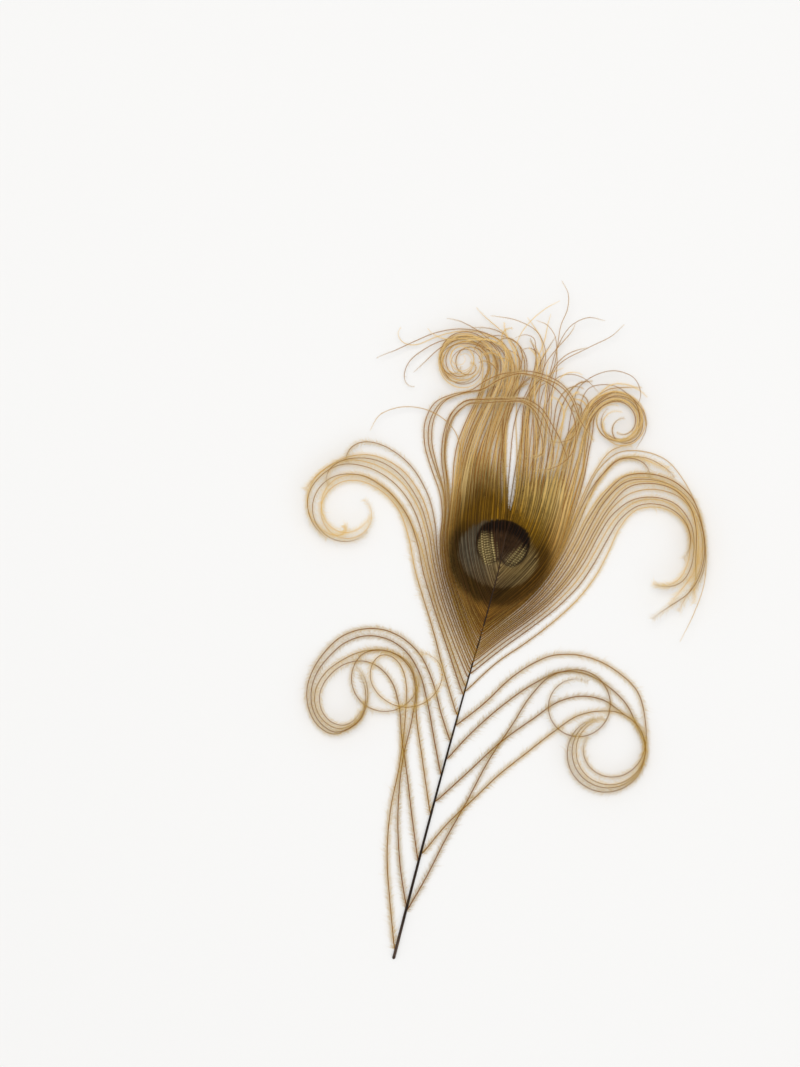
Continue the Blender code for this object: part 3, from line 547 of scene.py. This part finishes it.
def lay(line, kind, lift, layer, rng, dark=None):
    """Makes a barb of a line: its heights, the width of its stem and that of its web. dark is 0 or 1."""
    share = np.linspace(0.0, 1.0, len(line))
    rise = np.clip((share - LIFT_FROM) / (1.0 - LIFT_FROM), 0.0, 1.0)
    lifted = lift * (EARLY_LIFT * rise + (1.0 - EARLY_LIFT) * rise * rise * (3.0 - 2.0 * rise))
    depth = inside(line, WEB_EDGE)
    closed = 0.0 * depth
    if kind != "loose":
        closed = smooth_step(depth + rng.normal(0.0, WEB_SPREAD), 0.0, WEB_FADE)
    passed = np.maximum.accumulate(line[:, 1]) + rng.uniform(-WEB_TOP_SPREAD, WEB_TOP_SPREAD)
    closed = closed * (1.0 - smooth_step(passed, *WEB_TOP))
    line = line + np.array([0.0, HOOK]) * np.exp(-share * len(line) * STEP / HOOK_LENGTH)[:, None]
    height = LYING + lifted + layer * (1.0 - closed) + crown(line) * (depth > -CROWN_REACH)
    over = smooth_step(share, *OVER_FROM) * (1.0 - smooth_step(share, *OVER_TO))
    looks = KINDS[kind]
    height = height + looks.over * over
    thick, thin = looks.stem
    width = (thick + (thin - thick) * share) * (1.0 - TAPER * smooth_step(share, TAPER_FROM, 1.0))
    foot = WEB_FOOT_SHARE + (1.0 - WEB_FOOT_SHARE) * smooth_step(line[:, 1], *WEB_FOOT)
    web = closed * WEB_WIDTH * foot
    tone = rng.uniform() if dark is None else 0.5 * dark + 0.5 * rng.uniform()
    if kind == "sweep":
        tone = SWEEP_TONE + (1.0 - SWEEP_TONE) * tone
    long, short = looks.fuzz
    return Barb(line, height, width, web, long + (short - long) * share, looks.fine, tone)


def between(low, high, share, spread, rng, dark):
    """A barb between two guides. Beyond the vane it gathers into the lock of the nearer one."""
    near = low if share < 0.5 else high
    kind = KINDS[near.kind]
    length = (len(near.line) - 1) * STEP * rng.uniform(*kind.lengths)
    at = np.arange(0.0, length, STEP)
    free = (1.0 - share) * along(low.line, at) + share * along(high.line, at)
    line = along(near.line, at)
    side = across(line)
    held = HOLD * smooth_step(np.maximum.accumulate(line[:, 1]), *kind.gather)
    apart = ((free - line) * side).sum(1)
    start = int(np.argmax(held > HELD_LEAST))
    share_gone = at / length
    offset = apart[start] * (1.0 - DRAW_IN * smooth_step(share_gone, *DRAW_IN_SPAN))
    offset = offset + rng.normal(0.0, spread) * smooth_step(share_gone, *STRAY_SPAN)
    offset = offset + RIPPLE * spread * np.sin(at / rng.uniform(*RIPPLE_SCALES) + rng.uniform(*PHASES))
    close = line + offset[:, None] * side
    mixed = free + held[:, None] * (close - free)
    swayed = sway(mixed, rng, kind.bend, kind.hook)
    return lay(swayed, near.kind, near.lift * rng.uniform(*LIFTS), rng.uniform(*LAYERS), rng, dark)


def family(guides, counts, spread, rng):
    """The barbs of one side, from the lowest root to the highest, as many to each gap as counts says.

    Pale and dark ones take turns.
    """
    barbs = []
    for low, high, count in zip(guides, guides[1:], counts):
        for k in range(count):
            share = (k + (rng.uniform(-ROOT_SPREAD, ROOT_SPREAD) if k else 0.0)) / count
            barbs.append(between(low, high, share, spread, rng, len(barbs) % 2))
    last = guides[-1]
    barbs.append(lay(last.line, last.kind, last.lift, 0.0, rng))
    return barbs


def alone(guides, rng):
    """Barbs that follow their guides exactly."""
    return [lay(guide.line, guide.kind, guide.lift, 0.0, rng) for guide in guides]


# The least bend, in degrees, and the way, in millimetres, between two rings of points along a barb
RING_TURN = 9.0
RING_WAY = 2.0


def ring_places(line):
    """The indices of the rings that follow the line's bends."""
    steps = np.diff(line, axis=0)
    angle = np.unwrap(np.arctan2(steps[:, 1], steps[:, 0]))
    turned = np.concatenate([[0.0], np.cumsum(np.abs(np.degrees(np.diff(angle)))), [0.0]])
    turned[-1] = turned[-2]
    worth = turned / RING_TURN + np.arange(len(line)) * STEP / RING_WAY
    keep = np.concatenate([[True], np.diff(np.floor(worth)) > 0])
    keep[-1] = True
    return np.flatnonzero(keep)


def places_3d(barb):
    return np.column_stack([barb.line - PLAN_CENTRE, barb.height])


def directions(places):
    """Each place's way forward, its side to the right, and its up."""
    forward = np.gradient(places, axis=0)
    forward /= np.linalg.norm(forward, axis=1)[:, None]
    right = np.cross(forward, (0.0, 0.0, 1.0))
    right /= np.linalg.norm(right, axis=1)[:, None]
    return forward, right, np.cross(right, forward)


# The length that fills a row of the texture map, in millimetres, and how much of its height is used
LONGEST = 200.0
ROW_FILL = 0.42

# The places of a piece's two materials
STEM_LOOK = 0
BARBULE_LOOK = 1

# A stem's section as shares of half its width, how far across each corner counts, and the web's tilt
RIDGE = 0.9
SHOULDER = 0.3
BELLY = 0.35
CORNERS_ACROSS = (-1.0, -0.35, 0.0, 0.35, 1.0, 0.0)
WEB_TILT = 0.22

# How far along and across its barb each corner of a barbule counts
BARBULE_ALONG = (-0.1, 0.1, 0.5)
BARBULE_ACROSS = (0.4, 0.4, 1.0)


def add_object(name, data):
    obj = bpy.data.objects.new(name, data)
    bpy.context.scene.collection.objects.link(obj)
    return obj


class Piece:
    """Gathers the faces of a piece, each vertex with its strand's tone and place along and across."""

    def __init__(self, rows):
        self.rows = rows
        self.row = 0
        self.count = 0
        self.places, self.strand, self.map, self.faces, self.looks = [], [], [], [], []

    def add(self, places, strand, faces, look):
        self.places.append(places)
        self.strand.append(strand)
        v = (self.row + 0.5 + ROW_FILL * np.clip(strand[:, 2], -1.0, 1.0)) / self.rows
        u = strand[:, 1] / LONGEST
        self.map.append(np.column_stack([u, v]))
        self.faces.append(faces + self.count)
        self.looks.append(np.full(len(faces), look))
        self.count += len(places)

    def make(self, name, materials):
        mesh = bpy.data.meshes.new(name)
        places = np.vstack(self.places) * MM
        faces = np.vstack(self.faces).astype(np.int32)
        mesh.vertices.add(len(places))
        mesh.vertices.foreach_set("co", places.astype(np.float32).ravel())
        mesh.loops.add(faces.size)
        mesh.loops.foreach_set("vertex_index", faces.ravel())
        mesh.polygons.add(len(faces))
        mesh.polygons.foreach_set("loop_start", np.arange(0, faces.size, 3, dtype=np.int32))
        for material in materials:
            mesh.materials.append(material)
        mesh.polygons.foreach_set("material_index", np.concatenate(self.looks).astype(np.int32))
        mesh.polygons.foreach_set("use_smooth", np.ones(len(faces), bool))
        values = mesh.attributes.new("strand", "FLOAT_VECTOR", "POINT")
        values.data.foreach_set("vector", np.vstack(self.strand).astype(np.float32).ravel())
        layer = mesh.uv_layers.new(name="OFBake")
        layer.data.foreach_set("uv", np.vstack(self.map)[faces.ravel()].astype(np.float32).ravel())
        mesh.update(calc_edges=True)
        mesh.validate()
        return add_object(name, mesh)


def add_stem(piece, barb):
    """A closed blade: a ridged stem with a thin web to either side where the vane is closed."""
    kept = ring_places(barb.line)
    places = places_3d(barb)
    _, right, up = (d[kept] for d in directions(places))
    places = places[kept]
    half = 0.5 * barb.width[kept]
    edge = half + barb.web[kept]
    tilt = WEB_TILT * barb.web[kept]
    middle = 0.0 * half
    outline = [
        (-edge, -tilt), (-half, SHOULDER * half), (middle, RIDGE * half), (half, SHOULDER * half),
        (edge, tilt), (middle, -BELLY * half),
    ]
    rings = [places + a[:, None] * right + h[:, None] * up for a, h in outline]
    sides = len(rings)
    verts = np.stack(rings, axis=1).reshape(-1, 3)
    n = len(kept)
    i = np.arange(n - 1)[:, None] * sides
    k = np.arange(sides)[None, :]
    k2 = (k + 1) % sides
    a, b, c, d = i + k, i + k2, i + sides + k2, i + sides + k
    walls = [np.stack(corners, -1).reshape(-1, 3) for corners in ((a, b, c), (a, c, d))]
    first = np.array([[0, k + 1, k] for k in range(1, sides - 1)])
    last = np.array([[0, k, k + 1] for k in range(1, sides - 1)]) + (n - 1) * sides
    faces = np.vstack([*walls, first, last])
    strand_values = np.column_stack([
        np.full(len(verts), barb.tone), np.repeat(kept * STEP, sides), np.tile(CORNERS_ACROSS, n),
    ])
    piece.add(verts, strand_values, faces, STEM_LOOK)


def add_barbules(piece, barb, rng):
    """Fine barbules along both sides of a barb where the vane isn't closed."""
    places = places_3d(barb)
    forward, right, up = directions(places)
    total = (len(places) - 1) * STEP
    open_share = 1.0 - np.clip(2.0 * barb.web / WEB_WIDTH - 1.0, 0.0, 1.0)
    for side in (-1.0, 1.0):
        at = np.arange(BARE_ROOT, total, BARBULE_GAP)
        at = at + rng.uniform(-PLACE_SPREAD, PLACE_SPREAD, len(at)) * BARBULE_GAP
        at = at[at < total - BARE_TIP]
        j = np.clip((at / STEP).astype(int), 0, len(places) - 1)
        kept = rng.uniform(size=len(at)) < open_share[j]
        at, j = at[kept], j[kept]
        n = len(at)
        if not n:
            continue
        held = np.clip(barb.web[j] / (HELD_FROM * WEB_WIDTH), 0.0, 1.0)
        size = barb.fuzz[j] * rng.uniform(*BARBULE_SIZES, n) * (1.0 - HELD_SHORTER * held)
        size = size * np.where(rng.uniform(size=n) < LONG_SHARE, LONGER, 1.0)
        angle = np.radians(rng.normal(LEAN, LEAN_SPREAD, n))
        rise = rng.normal(0.0, RISE_SPREAD, n) - HELD_DIP * held
        foot = places[j] + side * FOOT_OUT * barb.width[j, None] * right[j]
        half = (barb.fine * rng.uniform(*FOOT_SIZES, n))[:, None] * forward[j]
        way = np.cos(angle)[:, None] * forward[j] + np.sin(angle)[:, None] * side * right[j]
        tip = foot + size[:, None] * (way + rise[:, None] * up[j])
        verts = np.stack([foot - half, foot + half, tip], axis=1).reshape(-1, 3)
        verts[:, 2] = np.maximum(verts[:, 2], LOWEST)
        order = (0, 1, 2) if side < 0 else (1, 0, 2)
        faces = np.arange(n)[:, None] * 3 + np.array(order)
        values = np.column_stack([
            np.full(3 * n, barb.tone), np.repeat(at, 3) + np.tile(BARBULE_ALONG, n),
            side * np.tile(BARBULE_ACROSS, n),
        ])
        piece.add(verts, values, faces, BARBULE_LOOK)


def make_piece(name, barbs, materials, rng):
    """One piece of stems and barbules, which stands for its share of the solid."""
    piece = Piece(len(barbs))
    for row, barb in enumerate(barbs):
        piece.row = row
        add_stem(piece, barb)
        add_barbules(piece, barb, rng)
    hand_over(piece.make(name, materials))


def hand_over(obj):
    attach(obj, "root")
    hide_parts("feather")


class Field:
    """A number that varies over the surface, as a socket in a material's nodes."""

    def __init__(self, tree, socket):
        self.tree = tree
        self.socket = socket

    def math(self, operation, *others):
        node = self.tree.nodes.new("ShaderNodeMath")
        node.operation = operation
        for slot, value in zip(node.inputs, (self, *others)):
            if isinstance(value, Field):
                self.tree.links.new(value.socket, slot)
            else:
                slot.default_value = value
        return Field(self.tree, node.outputs[0])

    def __add__(self, other):
        return self.math("ADD", other)

    def __sub__(self, other):
        return self.math("SUBTRACT", other)

    def __mul__(self, other):
        return self.math("MULTIPLY", other)

    def __truediv__(self, other):
        return self.math("DIVIDE", other)

    def less(self):
        """One less this."""
        return self * -1.0 + 1.0

    def step(self, low, high):
        """0 up to low, 1 from high on, and smooth between."""
        node = self.tree.nodes.new("ShaderNodeMapRange")
        node.interpolation_type = "SMOOTHSTEP"
        self.tree.links.new(self.socket, node.inputs["Value"])
        node.inputs["From Min"].default_value = low
        node.inputs["From Max"].default_value = high
        return Field(self.tree, node.outputs["Result"])


def tint(red, green, blue):
    """A colour for a shader, from the 0 to 255 of a screen."""
    def linear(value):
        value /= 255.0
        return value / 12.92 if value <= 0.04045 else ((value + 0.055) / 1.055) ** 2.4
    return (linear(red), linear(green), linear(blue), 1.0)


def blend(share, under, over):
    """The colour over laid on the colour under by share, a Field."""
    tree = share.tree
    node = tree.nodes.new("ShaderNodeMix")
    node.data_type = "RGBA"
    for name, value in (("Factor_Float", share), ("A_Color", under), ("B_Color", over)):
        slot = next(s for s in node.inputs if s.identifier == name)
        if isinstance(value, Field):
            tree.links.new(value.socket, slot)
        elif isinstance(value, tuple):
            slot.default_value = value
        else:
            tree.links.new(value, slot)
    return next(s for s in node.outputs if s.identifier == "Result_Color")


def brighter(times, colour):
    """A colour made as many times brighter."""
    tree = times.tree
    node = tree.nodes.new("ShaderNodeVectorMath")
    node.operation = "SCALE"
    tree.links.new(colour, node.inputs[0])
    tree.links.new(times.socket, node.inputs["Scale"])
    return node.outputs[0]


def ellipse(x, y, centre, radii, lean=0.0):
    """Roughly how far outside an ellipse a point is. lean turns it anticlockwise, in degrees."""
    c, s = math.cos(math.radians(lean)), math.sin(math.radians(lean))
    dx, dy = x - centre[0], y - centre[1]
    u = (dx * c + dy * s) / radii[0]
    v = (dy * c - dx * s) / radii[1]
    return ((u * u + v * v).math("SQRT") - 1.0) * min(radii)


class Plan:
    """The fields that a material reads: the place on the plan, and the strand's own values."""

    def __init__(self, tree):
        self.tree = tree
        self.coordinates = tree.nodes.new("ShaderNodeTexCoord").outputs["Object"]
        parts = tree.nodes.new("ShaderNodeSeparateXYZ")
        tree.links.new(self.coordinates, parts.inputs[0])
        self.x = Field(tree, parts.outputs[0]) / MM + PLAN_CENTRE[0]
        self.y = Field(tree, parts.outputs[1]) / MM + PLAN_CENTRE[1]
        attribute = tree.nodes.new("ShaderNodeAttribute")
        attribute.attribute_name = "strand"
        own = tree.nodes.new("ShaderNodeSeparateXYZ")
        tree.links.new(attribute.outputs["Vector"], own.inputs[0])
        self.tone = Field(tree, own.outputs[0])
        self.along = Field(tree, own.outputs[1])
        self.across = Field(tree, own.outputs[2])

    def noise(self, size, detail=2.0, vector=None):
        """A random pattern around 0.5 with features about size millimetres across."""
        node = self.tree.nodes.new("ShaderNodeTexNoise")
        self.tree.links.new(vector or self.coordinates, node.inputs["Vector"])
        node.inputs["Scale"].default_value = 1.0 / (size * MM)
        node.inputs["Detail"].default_value = detail
        return Field(self.tree, node.outputs[0])


# The gap between two threads of the gold weave, and between two lines of a web, in millimetres
WEAVE_GAP = 0.62
WEB_LINE_GAP = 0.22

# A metre in millimetres, the depth of the fine relief in metres, and how strongly each thing reflects
METRE = 1000.0
BUMP_DEPTH = 0.00005
BARB_SPECULAR = 0.06
SHAFT_SPECULAR = 0.12
FLOOR_SPECULAR = 0.1


def feather_colours(plan):
    """The colour of the barbs over the whole plan, from places and radii in millimetres."""
    x, y = plan.x, plan.y
    own = plan.tone - 0.5
    patchy = plan.noise(5.0) - 0.5
    grain = plan.noise(0.8) - 0.5

    # Loose barbs go from brown at the root to gold at the tip
    far = (plan.along * 0.8 + y * 0.5 + own * 15.0 + patchy * 30.0).step(15.0, 90.0)
    colour = blend(far, tint(134, 90, 34), tint(204, 160, 86))
    colour = blend((own * 0.9 + patchy * 0.9).step(-0.1, 0.5) * 0.5, colour, tint(160, 102, 44))

    # Pale barbs lighten towards the top
    colour = blend(y.step(130.0, 152.0) * own.step(0.2, -0.2) * 0.6, colour, tint(226, 188, 122))

    # The closed vane round the eye is darker
    vane = ellipse(x, y, (-0.5, 100.0), (16.5, 24.0)) + own * 1.5 + patchy * 4.0
    brown = blend(y.step(82.0, 94.0), tint(140, 100, 36), tint(130, 92, 34))
    colour = blend(vane.step(-5.0, 3.0).less() * 0.85, colour, brown)

    # Bronze over the eye, darkest next to it
    bronze = (y + own * 3.0 + patchy * 8.0).step(116.0, 126.0).less() * (y + own * 2.0).step(97.0, 105.0)
    bronze = bronze * ((x + 1.5).math("ABSOLUTE") + own * 1.5 + patchy * 3.0).step(9.5, 14.5).less()
    over = (y + x * 0.5 + own * 3.0 + grain * 4.0 + patchy * 5.0).step(110.5, 121.0)
    deep = blend((x + patchy * 3.0).step(-6.0, -1.0), tint(102, 72, 8), tint(122, 88, 12))
    colour = blend(bronze * 0.95, colour, blend(over, deep, tint(172, 142, 76)))

    # The dark ring, which opens at the top
    dark = ellipse(x, y, (0.0, 100.8), (12.4, 12.2)) + own * 1.2 + grain * 1.2
    open_top = (y + own * 1.5 + patchy * 2.0).step(102.5, 109.5).less()
    warmer = (x + patchy * 4.0 - y * 0.35).step(-31.0, -24.0)
    ring_colour = blend(warmer, tint(48, 33, 4), tint(76, 50, 6))
    colour = blend(dark.step(-1.2, 1.4).less() * open_top * 0.95, colour, ring_colour)

    # The taupe ring inside it, greyer on the left and darker towards its lower edge
    ring = ellipse(x, y, (-0.3, 101.0), (9.8, 8.1)) + own * 0.7 + grain * 0.6
    taupe = blend((x + patchy * 5.0).step(-6.5, 4.0), tint(88, 80, 64), tint(128, 106, 64))
    taupe = blend((y + own * 2.0).step(92.5, 99.0).less() * 0.6, taupe, tint(98, 78, 50))
    taupe = blend(ring.step(-3.0, 0.0) * 0.35, taupe, tint(60, 46, 24))
    upper_right = (x * 0.8 + y + own).step(107.5, 113.0)
    colour = blend(ring.step(-0.6, 0.3).less() * upper_right.less(), colour, taupe)

    # The core: two lobes and a cap over them, sharp above and soft below
    left = ellipse(x, y, (-2.9, 103.0), (3.5, 5.1), 12.0)
    right = ellipse(x, y, (3.2, 103.5), (3.4, 4.9), -8.0)
    cap = ellipse(x, y, (0.1, 105.3), (5.7, 4.2))
    core = left.math("SMOOTH_MIN", right, 2.0).math("SMOOTH_MIN", cap, 0.8) + own * 0.3 + grain * 0.25
    heart = blend((grain + own * 0.5).step(-0.25, 0.3), tint(46, 31, 18), tint(68, 48, 30))
    sunk = (y + own * 1.5).step(98.5, 103.0)
    heart = blend(sunk.less() * 0.6, heart, tint(96, 80, 60))

    # The two gold patches under it, with the weave of their barbules
    under_left = ellipse(x, y, (-3.5, 101.4), (2.2, 4.1), 28.0)
    under_right = ellipse(x, y, (4.6, 101.1), (3.3, 1.8), 58.0)
    patches = under_left.math("MINIMUM", under_right) + grain * 1.6 + own * 1.0
    threads = (plan.along * (2.0 * math.pi / WEAVE_GAP) + plan.tone * 40.0).math("SINE")
    weave = (threads + grain * 1.5).step(-0.6, 0.9)
    gold = blend(weave, tint(88, 74, 44), tint(160, 142, 94))
    heart = blend(patches.step(-0.9, 0.7).less() * 0.9, heart, gold)

    # The near black crescent over them, and the core's dark rim
    brow = ellipse(x, y, (-0.1, 102.2), (5.7, 4.1)) + own * 0.8 + grain * 1.0
    brow = brow.step(-0.4, 0.9) * (y + x * 0.3).step(99.5, 102.5)
    heart = blend(brow, heart, tint(20, 12, 8))
    rim = core.step(-0.75, -0.3) * y.step(98.0, 100.0)
    heart = blend(rim * 0.8, heart, tint(30, 20, 8))
    return blend(core.step(-0.25, 0.25).less(), colour, heart)


def new_material(name, specular):
    """A material with its shader, and how strongly it reflects."""
    material = bpy.data.materials.new(name)
    material.use_nodes = True
    shader = material.node_tree.nodes["Principled BSDF"]
    shader.inputs["Specular IOR Level"].default_value = specular
    return material, shader


def add_bump(tree, shader, height, strength):
    """Fine relief after a field."""
    bump = tree.nodes.new("ShaderNodeBump")
    bump.inputs["Strength"].default_value = strength
    bump.inputs["Distance"].default_value = BUMP_DEPTH
    tree.links.new(height.socket, bump.inputs["Height"])
    tree.links.new(bump.outputs[0], shader.inputs["Normal"])


def barb_material(name, paler, roughness):
    """A material of the barbs. paler is the share of light gold in thin barbules, and 0 for stems."""
    material, shader = new_material(name, BARB_SPECULAR)
    tree = material.node_tree
    plan = Plan(tree)
    colour = feather_colours(plan)

    # Light and dark barbs take turns, and a closed barb is darkest along its edge: painted shade in the
    # groove where it meets the next barb
    shade = plan.tone.less() - 0.5 + (plan.noise(1.4) - 0.5) * 0.8
    free = ellipse(plan.x, plan.y, (0.0, 101.0), (16.0, 21.0)).step(-5.0, 3.5)
    far = (plan.along * 0.8 + plan.y * 0.5).step(30.0, 110.0)
    gold = blend(far, tint(196, 160, 84), tint(236, 210, 150))
    gold = blend(plan.y.step(78.0, 94.0).less() * 0.8, gold, tint(206, 174, 86))
    below = plan.y.step(84.0, 97.0).less()
    if paler:
        share = (free * (paler - 0.1) + 0.1).math("MAXIMUM", below * 0.45)
        colour = blend(share, colour, gold)
        colour = brighter(plan.tone.less() * 0.3 + 0.82, colour)
    else:
        edge = plan.across.math("ABSOLUTE")
        times = shade.step(-0.6, 0.6) * (free * -0.3 + 0.75) + (free * 0.14 + 0.64)
        colour = brighter(times, colour)
        colour = blend(plan.y.step(74.0, 90.0).less() * 0.8, colour, tint(134, 84, 14))
        # Painted shade: a dark line along the edge of each closed barb, where the barbs overlap
        colour = blend(edge.step(0.5, 1.0) * free.less() * 0.4, colour, tint(40, 26, 8))
        core = edge.step(0.25, 0.5).less() * plan.tone.step(0.45, 0.55).math("MAXIMUM", below)
        high = plan.y.step(112.0, 126.0)
        warm = blend(high, tint(120, 66, 18), tint(142, 80, 30))
        dark = blend(free, tint(64, 36, 10), warm)
        depth = below * free.less() * 0.35 + free * -0.15 + high * 0.3 + 0.55
        colour = blend(core * depth, colour, dark)
        light = edge.step(0.35, 0.8) * (plan.tone * -0.4 + 0.75) + plan.tone.step(0.15, 0.5).less() * 0.5
        colour = blend(light * free * (below * -0.7 + 1.0), colour, gold)
    tree.links.new(colour, shader.inputs["Base Color"])
    rough = (plan.noise(0.5) - 0.5) * 0.2 + roughness
    tree.links.new(rough.socket, shader.inputs["Roughness"])
    slanted = plan.along - plan.across.math("ABSOLUTE") * 0.45
    lines = (slanted * (2.0 * math.pi / WEB_LINE_GAP)).math("SINE")
    add_bump(tree, shader, lines, 0.35)
    return material


def shaft_material():
    """Dark and streaked lengthwise, paler at the quill and browner through the vane."""
    material, shader = new_material("shaft", SHAFT_SPECULAR)
    tree = material.node_tree
    plan = Plan(tree)
    stretch = tree.nodes.new("ShaderNodeMapping")
    stretch.inputs["Scale"].default_value = (4000.0, 120.0, 4000.0)
    tree.links.new(plan.coordinates, stretch.inputs["Vector"])
    streak = plan.noise(METRE, 3.0, stretch.outputs[0])
    colour = blend(streak.step(0.35, 0.7), tint(20, 13, 9), tint(50, 34, 24))
    colour = blend(plan.y.step(0.0, 14.0).less() * 0.45, colour, tint(98, 78, 66))
    colour = blend(plan.y.step(84.0, 98.0) * 0.5, colour, tint(60, 40, 20))
    tree.links.new(colour, shader.inputs["Base Color"])
    tree.links.new((streak * 0.25 + 0.4).socket, shader.inputs["Roughness"])
    add_bump(tree, shader, streak, 0.3)
    return material


# The shaft's sides, radii, taper and height over the surface, and how deep its top is grooved
SHAFT_SIDES = 14
QUILL_RADIUS = 0.38
SHAFT_TIP_RADIUS = 0.13
SHAFT_TAPER = 0.8
SHAFT_HEIGHT = 0.45
GROOVED = 0.78

# The quill's cut: its slant, the depth of the hollow, and its width at the mouth and inside
CUT_SLANT = 0.9
HOLLOW_DEPTH = 2.0
MOUTH_WIDTH = 0.55
DEEP_WIDTH = 0.4


def make_shaft():
    """The shaft, round below and grooved on top, with an oblique hollow cut at the quill's end."""
    line = smooth_line(SHAFT_LINE)[::4]
    share = np.linspace(0.0, 1.0, len(line))
    radius = QUILL_RADIUS + (SHAFT_TIP_RADIUS - QUILL_RADIUS) * share ** SHAFT_TAPER
    height = np.maximum(radius + LOWEST, SHAFT_HEIGHT + crown(line))
    places = np.column_stack([line - PLAN_CENTRE, height])
    _, right, up = directions(places)
    angle = 2.0 * math.pi * np.arange(SHAFT_SIDES) / SHAFT_SIDES
    wide, tall = np.sin(angle), np.cos(angle)
    tall = np.where(tall > 0.9, GROOVED, tall)
    rings = places[:, None] + radius[:, None, None] * (
        wide[None, :, None] * right[:, None] + tall[None, :, None] * up[:, None]
    )
    around = rings[0] - places[0]
    slant = 0.5 * (tall[:, None] + 1.0) * np.array([0.0, CUT_SLANT, 0.0])
    rings[0] += slant
    mouth = places[0] + MOUTH_WIDTH * around + slant
    deep = places[0] + np.array([0.0, HOLLOW_DEPTH, 0.0]) + DEEP_WIDTH * around
    verts = np.vstack([deep, mouth, rings.reshape(-1, 3)])
    n = len(rings) + 2
    i = np.arange(n - 1)[:, None] * SHAFT_SIDES
    k = np.arange(SHAFT_SIDES)[None, :]
    k2 = (k + 1) % SHAFT_SIDES
    quads = np.stack([i + k, i + k2, i + SHAFT_SIDES + k2, i + SHAFT_SIDES + k], -1).reshape(-1, 4)
    ends = [list(range(SHAFT_SIDES))[::-1], list(range((n - 1) * SHAFT_SIDES, n * SHAFT_SIDES))]
    faces = quads.tolist() + ends
    mesh = bpy.data.meshes.new("shaft")
    mesh.from_pydata((verts * MM).tolist(), [], faces)
    mesh.polygons.foreach_set("use_smooth", [len(p.vertices) == 4 for p in mesh.polygons])
    mesh.update()
    mesh.materials.append(shaft_material())
    hand_over(add_object("shaft", mesh))


# The floor's half width in metres
FLOOR_HALF = 3.0

# The photograph's view, in millimetres over the plan's centre, and its roll in degrees
CAMERA_HEIGHT = 900.0
FRAME_HEIGHT = 257.6
VIEW_CENTRE = (-24.5, 15.6)
VIEW_ROLL = 14.69


def make_floor():
    """A plain pale floor under the feather."""
    corners = [(a * FLOOR_HALF, b * FLOOR_HALF, 0.0) for a, b in ((-1, -1), (1, -1), (1, 1), (-1, 1))]
    mesh = bpy.data.meshes.new("floor")
    mesh.from_pydata(corners, [], [(0, 1, 2, 3)])
    material, shader = new_material("pale_floor", FLOOR_SPECULAR)
    shader.inputs["Base Color"].default_value = (0.83, 0.83, 0.83, 1.0)
    shader.inputs["Roughness"].default_value = 0.9
    mesh.materials.append(material)
    add_object("floor", mesh)


def make_light(name, place, size, power, colour):
    """A square soft light, aimed at the part's origin."""
    data = bpy.data.lights.new(name, "AREA")
    data.shape = "SQUARE"
    data.size = size
    data.energy = power
    data.color = colour
    lamp = add_object(name, data)
    lamp.location = place
    pitch = math.atan2(math.hypot(place[0], place[1]), place[2])
    lamp.rotation_euler = (pitch, 0.0, math.atan2(-place[0], place[1]) + math.pi)


def make_camera():
    """Looks straight down, turned so that the shaft leans to the right as in the photograph."""
    data = bpy.data.cameras.new("camera")
    data.sensor_fit = "VERTICAL"
    data.sensor_height = 24.0
    data.lens = data.sensor_height * CAMERA_HEIGHT / FRAME_HEIGHT
    camera = add_object("camera", data)
    camera.location = (VIEW_CENTRE[0] * MM, VIEW_CENTRE[1] * MM, CAMERA_HEIGHT * MM)
    camera.rotation_euler = (0.0, 0.0, math.radians(VIEW_ROLL))
    bpy.context.scene.camera = camera


materials = [barb_material("barb_stems", 0.0, 0.5), barb_material("barbules", 0.8, 0.65)]
rng = np.random.default_rng(7)
make_shaft()
make_piece("low_barbs_right", alone(RIGHT_LOW, rng), materials, rng)
make_piece("low_barbs_left", alone(LEFT_LOW, rng), materials, rng)

# The vane's guides from the lowest root up, and how many barbs fill each gap between two of them
left_side = LEFT_ARCH + SWEEPS + LEFT_PLUME
left_counts = [1, 2, 3, 3, 3, 4, 5, 5, 5, 6, 6, 5, 4]
right_side = RIGHT_ARCH + RIGHT_PLUME
right_counts = [1, 2, 3, 3, 4, 3, 6, 5, 4, 5, 4, 5, 4, 4]
left_barbs = family(left_side, left_counts, 1.1, rng)
right_barbs = family(right_side, right_counts, 1.0, rng)
make_piece("vane_left", left_barbs, materials, rng)
make_piece("vane_right", right_barbs, materials, rng)
make_piece("wisps", alone(WISPS, rng), materials, rng)

make_floor()
make_camera()
make_light("key", (-0.12, 0.2, 1.3), 0.6, 8.2, (1.0, 0.985, 0.96))
make_light("fill", (0.7, -0.4, 1.0), 1.2, 3.0, (0.99, 0.995, 1.0))
world = bpy.data.worlds.new("studio")
world.use_nodes = True
world.node_tree.nodes["Background"].inputs["Color"].default_value = (0.992, 0.992, 0.988, 1.0)
world.node_tree.nodes["Background"].inputs["Strength"].default_value = 0.6
bpy.context.scene.world = world
bpy.context.scene.view_settings.view_transform = "Standard"
